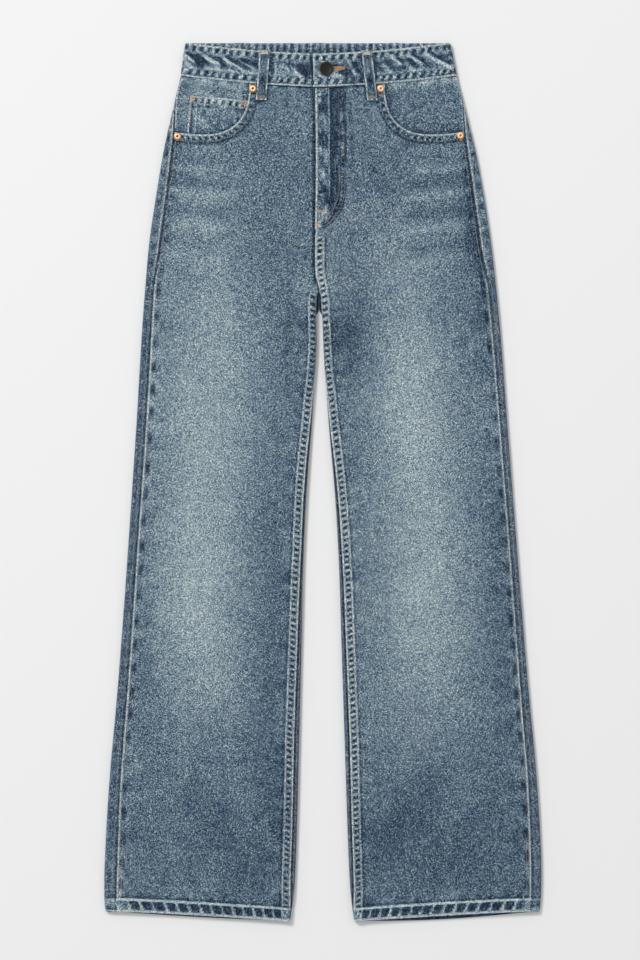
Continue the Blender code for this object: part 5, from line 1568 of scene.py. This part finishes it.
def stitchTree():
    # One arched stitch on every point, turned as the point says
    tree = bpy.data.node_groups.new("stitches", "GeometryNodeTree")
    sockets = {
        "Places": "Geometry", "Length": "Float", "Width": "Float", "Uneven": "Float", "Seed": "Int",
        "Thread": "Material",
    }
    inputs = {
        name: tree.interface.new_socket(name, in_out="INPUT", socket_type="NodeSocket" + kind)
        for name, kind in sockets.items()
    }
    tree.interface.new_socket("Stitches", in_out="OUTPUT", socket_type="NodeSocketGeometry")
    given = tree.nodes.new("NodeGroupInput").outputs
    ends = {}
    for socket, share, height in (("Start", -0.5, -0.00024), ("Middle", 0.0, 0.00060), ("End", 0.5, -0.00024)):
        along = mathNode(tree, "MULTIPLY", given["Length"], share)
        ends[socket] = addNode(tree, "ShaderNodeCombineXYZ", {"X": along, "Z": height}).outputs[0]
    arch = addNode(tree, "GeometryNodeCurveQuadraticBezier", {"Resolution": 3, **ends})
    radius = mathNode(tree, "MULTIPLY", given["Width"], 0.5)
    ring = addNode(tree, "GeometryNodeCurvePrimitiveCircle", {"Resolution": 5, "Radius": radius})
    tube = addNode(tree, "GeometryNodeCurveToMesh", {
        "Curve": arch.outputs[0], "Profile Curve": ring.outputs["Curve"], "Fill Caps": True})
    turn = addNode(tree, "GeometryNodeInputNamedAttribute", {"Name": "turn"})
    turn.data_type = "FLOAT_VECTOR"
    rotation = addNode(tree, "FunctionNodeEulerToRotation", {0: turn.outputs["Attribute"]})
    low = mathNode(tree, "SUBTRACT", 1.0, given["Uneven"])
    uneven = addNode(tree, "FunctionNodeRandomValue", {2: low, 3: 1.0, "Seed": given["Seed"]})
    placed = addNode(tree, "GeometryNodeInstanceOnPoints", {
        "Points": given["Places"], "Instance": tube.outputs[0],
        "Rotation": rotation.outputs[0], "Scale": uneven.outputs[1]})
    real = addNode(tree, "GeometryNodeRealizeInstances", {0: placed.outputs[0]})
    coloured = addNode(tree, "GeometryNodeSetMaterial", {"Geometry": real.outputs[0], "Material": given["Thread"]})
    addNode(tree, "NodeGroupOutput", {0: coloured.outputs[0]})
    return tree, {name: socket.identifier for name, socket in inputs.items()}


stitches, stitchInputs = stitchTree()
sewing = {}


def sew(name, on, beside, colour, up=1, pitch=None, skip=0.0, tack=False):
    # Marks a row of stitches along the points on; beside is the same row moved across the cloth,
    # and up tells which side of the cloth is the outer one
    walked = np.concatenate([[0], np.cumsum(np.linalg.norm(np.diff(on, axis=0), axis=1))])
    pitch = pitch or (stitchSizes["tackPitch"] if tack else stitchSizes["pitch"])
    count = int((walked[-1] - 2 * skip) / pitch)
    if count < 1:
        return
    at = skip + pitch * (np.arange(count) + 0.5)
    half = 0.4 * pitch

    def place(points, distance):
        return np.stack([np.interp(distance, walked, points[:, k]) for k in range(3)], -1)

    first, last = place(on, at - half), place(on, at + half)
    along = last - first
    along /= np.linalg.norm(along, axis=1)[:, None]
    out = np.cross(along, place(beside, at) - place(on, at)) * up
    out /= np.linalg.norm(out, axis=1)[:, None]
    middles = (first + last) / 2 + out * 0.06
    turns = []
    for x, z in zip(along, out):
        y = np.cross(z, x)
        columns = (y, -x, z) if tack else (x, y, z)
        turns.append(Matrix(np.stack(columns, 1).tolist()).to_euler()[:])
    rows = sewing.setdefault(name, [])
    wear = threadTones[colour] + 0.05 * noise(at / 7, 0.5, 171)
    rows.append((middles, np.array(turns), wear, stitchSizes["tackLength"] if tack else 0.8 * pitch))


def finishSewing(name):
    # One plain mesh for a piece's stitches
    made = []
    for size in sorted({row[3] for row in sewing[name]}):
        rows = [row for row in sewing[name] if row[3] == size]
        mesh = bpy.data.meshes.new(name)
        mesh.from_pydata((np.concatenate([row[0] for row in rows]) * 0.001).tolist(), [], [])
        turn = mesh.attributes.new("turn", "FLOAT_VECTOR", "POINT")
        turn.data.foreach_set("vector", np.concatenate([row[1] for row in rows]).astype(np.float32).ravel())
        tone = mesh.attributes.new("tone", "FLOAT", "POINT")
        tone.data.foreach_set("value", np.clip(np.concatenate([row[2] for row in rows]), 0, 1).astype(np.float32))
        obj = newObject(name, mesh)
        modifier = obj.modifiers.new("stitches", "NODES")
        modifier.node_group = stitches
        values = {
            "Length": size / 1000, "Width": stitchSizes["width"] / 1000,
            "Uneven": stitchSizes["uneven"], "Seed": stitchSizes["seed"], "Thread": thread,
        }
        for socket, value in values.items():
            modifier[stitchInputs[socket]] = value
        keepEvaluated(obj)
        made.append(obj)
    bm = bmesh.new()
    for obj in made:
        bm.from_mesh(obj.data)
    joined = made[0].data
    bm.to_mesh(joined)
    bm.free()
    for obj in made[1:]:
        bpy.data.objects.remove(obj)
    joined.shade_smooth()
    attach(made[0], "root")
    print(name, len(joined.vertices), "points")


def frontRow(side, off, down, colour, **more):
    # Sews along offsets and distances down on a front panel
    off, down = np.broadcast_arrays(np.asarray(off, float), np.asarray(down, float))
    shift = np.stack([np.gradient(down), -np.gradient(off)], -1)
    shift = 0.5 * shift / np.linalg.norm(shift, axis=1)[:, None]
    on = frontPoints(side, down, off)[0]
    beside = frontPoints(side, down + shift[:, 1], off + shift[:, 0])[0]
    sew(f"stitches_front_{sides[side]}", on, beside, colour, up=side, **more)


def span(start, end, step=1.0):
    return np.linspace(start, end, max(int(abs(end - start) / step), 2) + 1)


def pocketRow(side, d):
    # Offsets and distances down of a line along a pocket opening, d outside it
    bowAway, bowDown = pocketBow(np.linspace(0.02, math.pi / 2, 200))
    level = span(pocketFlat + 1, pocketSide - 4)
    away, down = np.concatenate([bowAway, level]), np.concatenate([bowDown, pocketCurve(level)])
    run = np.stack([np.gradient(away), np.gradient(down)], -1)
    run /= np.linalg.norm(run, axis=1)[:, None]
    away, down = away - run[:, 1] * d, down + run[:, 0] * d
    kept = down > waistSeam(pocketMiddle + side * away) + 1.5
    away, down = away[kept], down[kept]
    return side * (pocketMiddle + side * away - curve(flyTable, down, 1)), down


for side in sides:
    low, high = frontCrotch + 6, hemOuter + hemSlant - hemHeight - 2
    for off in seamRows["inseam"]:
        frontRow(side, off, span(low if side < 0 else flyEnd + 3, high), "tan")
    down = span(pocketTop + 66, hemOuter - hemHeight - 2)
    frontRow(side, frontWhole(side, down)[1] - seamRows["side"], down, "tan")
    below = span(965, 1040)
    frontRow(side, frontWhole(side, below)[1] - seamRows["sideBelow"], below, "tan")
    wide = float(frontWhole(side, 1050.0)[1])
    off = span(3, wide - 3)
    frontRow(side, off, hemLine(1 - off / wide) - hemHeight + hemRow, "tan")
    for d in seamRows["pocket"]:
        frontRow(side, *pocketRow(side, d), "tan" if d < 5 else "brown")
    bottom = float(pocketCurve(pocketSide - 6.0))
    for k in range(2):
        down = span(bottom + 2, bottom + 10)
        frontRow(side, frontWhole(side, down)[1] - 5.0 - k * 1.2, down, "orange", tack=True)

# fly: the edge row, the two rows that turn in below, and the small tacks
frontRow(1, 2.4, span(57, flyEnd - 6), "tan")
for row, end in zip(flyLook["rows"], (217.0, 226.0)):
    angle = np.linspace(0, 1.42, 90)
    off = np.concatenate([np.full(120, row), row * np.cos(angle)])
    down = np.concatenate([np.linspace(57, flyStraight - 1, 120), flyStraight + (end - flyStraight) * np.sin(angle)])
    low = down > 150
    frontRow(1, off[~low], down[~low], "brown")
    frontRow(1, off[low], down[low], "gold")
frontRow(1, 11.0, span(flyEnd - 2, 294), "tan")
frontRow(1, span(1.0, 12.0), 205.6, "orange", tack=True)
frontRow(1, 2.6, span(219, 227), "orange", tack=True)


def bandRow(along, colour):
    kind, value = (column[0] for column in bandColumns())
    seen = (kind != 4) | (value < bandEndX - 2.5)
    kind, value = kind[seen], value[seen]
    faces = []
    for shift in (0.0, 0.5):
        flat = np.full(kind.shape, along + shift)
        points = bandFace(kind, value, flat, np.zeros(kind.shape))
        stretch = bandStretch(kind, value, points[:, 0])
        rise = bandWearAndShade(stretch, flat, length / 2 - points[:, 1], (kind != 2).astype(float))[1]
        faces.append(bandFace(kind, value, flat, rise))
    sew("stitches_band", *faces, colour, up=-1)


def bandRun(x, along, colour, **more):
    # Sews on the band's upper layer near its fly end
    x, along = np.broadcast_arrays(np.asarray(x, float), np.asarray(along, float))
    run = np.stack([np.gradient(x), np.gradient(along)], -1)
    run = 0.4 * run / np.linalg.norm(run, axis=1)[:, None]
    faces = []
    for step in (0, 1):
        px, pa = x - run[:, 1] * step, along + run[:, 0] * step
        down = bandDip(px) + pa
        faces.append(toPoints(px, down, bandTop(px) + bandWearAndShade(px, pa, down, np.ones(px.shape))[1]))
    sew("stitches_band", *faces, colour, up=-1, **more)


for along, colour in seamRows["band"]:
    bandRow(along, colour)
bandRun(bandEndX + 2.2, span(3, 37), "tan")
slit = buttonDown - frontDip + 0.3
for shift in (-1.3, 1.3):
    bandRun(span(eyeX + 8.8, eyeX + 20.4, 0.6), slit + shift, "orange", tack=True)
bandRun(eyeX + 21.6, span(slit - 1.9, slit + 1.9, 0.4), "orange", tack=True)


def flatRow(name, x, down, height, colour, up=1, **more):
    # Sews on a nearly level face whose height is a function of x and down
    x, down = np.broadcast_arrays(np.asarray(x, float), np.asarray(down, float))
    run = np.stack([np.gradient(x), np.gradient(down)], -1)
    run = 0.4 * run / np.linalg.norm(run, axis=1)[:, None]
    on = toPoints(x, down, height(x, down))
    px, pd = x - run[:, 1], down + run[:, 0]
    sew(name, on, toPoints(px, pd, height(px, pd)), colour, up=-up, **more)


# coin pocket
def coinHeight(x, down):
    return frontHeight(x, down) - 1.5 + 0.25


def coinSew(x, down, colour, **more):
    flatRow("stitches_coin_pocket", x, down, coinHeight, colour, **more)


x = span(-160, -89)
for step in seamRows["coin"]:
    coinSew(x, coinTop(x) + step, "tan")
down = span(coinTop(-160.0) + 4, 106)
coinSew(-161.0 - 4 * (down - 64) / 52 + 2.6, down, "tan")
coinSew(-91.6, span(coinTop(-91.6) + 2, 88), "tan")
coinSew(-97.4, span(coinTop(-97.4) + 2, 94), "tan")
for tackX in (-95.0, -158.0):
    for shift in (-1.4, 1.4):
        coinSew(tackX + span(-3.4, 3.4), coinTop(tackX) + 3.4 + shift, "orange", tack=True)


# front belt loops
def sewFrontLoop(word):
    x0, down0, x1, down1 = frontLoops[word]

    def outerHeight(x, down):
        return loopHeight(word, x, down) + loopPiece["thickness"] + 0.22 + 0.3 * loopBow(word, down)

    def centre(down):
        return mix(x0, x1, (down - down0) / (down1 - down0))

    down = span(down0 + 1.5, down1 - 1.5)
    for shift in seamRows["loop"]:
        flatRow(f"stitches_loop_{word}", centre(down) + shift, down, outerHeight, "tan")
    for end, colour in ((down0 + 3.6, "pale"), (down1 - 4.0, "tan")):
        for shift in (-0.8, 0.8):
            x = centre(end) + span(-4.6, 4.6)
            flatRow(f"stitches_loop_{word}", x, end + shift, outerHeight, colour, tack=True)


for word in frontLoops:
    sewFrontLoop(word)


# backs: side seam, inseam, rise, yoke, hem, pockets and loops
def backRow(side, kind, distance, down, colour):
    faces = []
    for step in (0.0, 0.5):
        if kind == "side":
            arc = outseamArc(side, down) - seamGap / 2 - distance - step
            place = outerFold(side, down, arc, 0.15, 0.0)
        else:
            arc = (inseamArc(side, down) - 0.2) * backClosing(down) - distance - step
            place = innerFold(side, down, backEdge(side, down), backClosing(down), arc, 0.1, 0.1)
        faces.append(toPoints(*place))
    sew(f"stitches_back_{sides[side]}", *faces, colour, up=side if kind == "side" else -side)


def under(x, _):
    return np.full(x.shape, 0.12)


for side, word in sides.items():
    name = f"stitches_back_{word}"
    backRow(side, "side", 3.6, span(84, 1040), "tan")
    backRow(side, "inseam", 2.8, span(backCrotch + 4, 1052), "tan")
    for step in seamRows["rise"]:
        backRow(side, "rise", step, span(118, backCrotch - 12), "tan")
        x = middle(90.0) + side * span(2, 160)
        flatRow(name, x, yokeSeam(x) + step + 0.6, under, "tan", up=-1)
    wide = span(backEdge(side, 1050.0) + 5, halfWidth(1050.0) - 6)
    inward = (halfWidth(1050.0) - wide) / (halfWidth(1050.0) - backEdge(side, 1050.0))
    drop = hemBackDrop[side] * np.sin(math.pi * inward)
    flatRow(name, middle(1050.0) + side * wide, hemLine(inward) - hemHeight + hemRow + drop, under, "tan", up=-1)
    centre = middle(backPocketTop) + side * backPocketAway
    for inset in seamRows["backPocket"]:
        wide, low = backPocketHalf - inset, backPocketEnd - backPocketPoint - inset * 0.8
        narrow = wide - backPocketTaper
        corners = [(-wide, backPocketTop + 2), (-narrow, low), (0, backPocketEnd - inset * 1.06)]
        corners += [(narrow, low), (wide, backPocketTop + 2)]
        for (xa, da), (xb, db) in zip(corners, corners[1:]):
            steps = int(math.hypot(xb - xa, db - da))
            flatRow(name, centre + np.linspace(xa, xb, steps), np.linspace(da, db, steps), under, "tan", up=-1)
    for step in seamRows["backPocketTop"]:
        flatRow(name, centre + span(-63, 63), backPocketTop + step, under, "tan", up=-1)

for away in backLoops.values():
    x = middle(0.0) + away
    for shift in seamRows["loop"]:
        flatRow("stitches_back_loops", x + shift, span(2, 48), under, "tan", up=-1)
    for end in (4.0, 46.0):
        flatRow("stitches_back_loops", x + span(-4.6, 4.6), end, under, "orange", up=-1, tack=True)

for name in sewing:
    finishSewing(name)

print("stage")

# Stage, light and camera

stageSizes = {
    "reach": 6.0, "albedo": 0.86, "sky": 0.60, "lamp": 490.0, "lampSize": 2.6, "lampPlace": (-4.55, 5.05, 6.0),
    "lens": 80, "camera": (-0.0027, 0.0027, 2.606),
}
lampPlace = Vector(stageSizes["lampPlace"])
paper, _, _ = shader("paper", 0.9, 0.0, (stageSizes["albedo"],) * 3)
mesh = bpy.data.meshes.new("floor")
reach = stageSizes["reach"]
corners = ((-reach, -reach), (reach, -reach), (reach, reach), (-reach, reach))
mesh.from_pydata([(x, y, -0.0005) for x, y in corners], [], [(0, 1, 2, 3)])
mesh.materials.append(paper)
floor = newObject("floor", mesh)

keyLight = bpy.data.lights.new("key", "AREA")
keyLight.shape = "DISK"
keyLight.size = stageSizes["lampSize"]
keyLight.energy = stageSizes["lamp"]
key = newObject("key", keyLight)
key.location = lampPlace
key.rotation_euler = lampPlace.to_track_quat("Z", "Y").to_euler()
world = bpy.data.worlds.new("studio")
world.use_nodes = True
background = world.node_tree.nodes["Background"].inputs
background["Color"].default_value = (1, 1, 1, 1)
background["Strength"].default_value = stageSizes["sky"]
bpy.context.scene.world = world
bpy.context.scene.view_settings.view_transform = "Standard"

cameraData = bpy.data.cameras.new("camera")
cameraData.lens = stageSizes["lens"]
camera = newObject("camera", cameraData)
camera.location = stageSizes["camera"]
bpy.context.scene.camera = camera
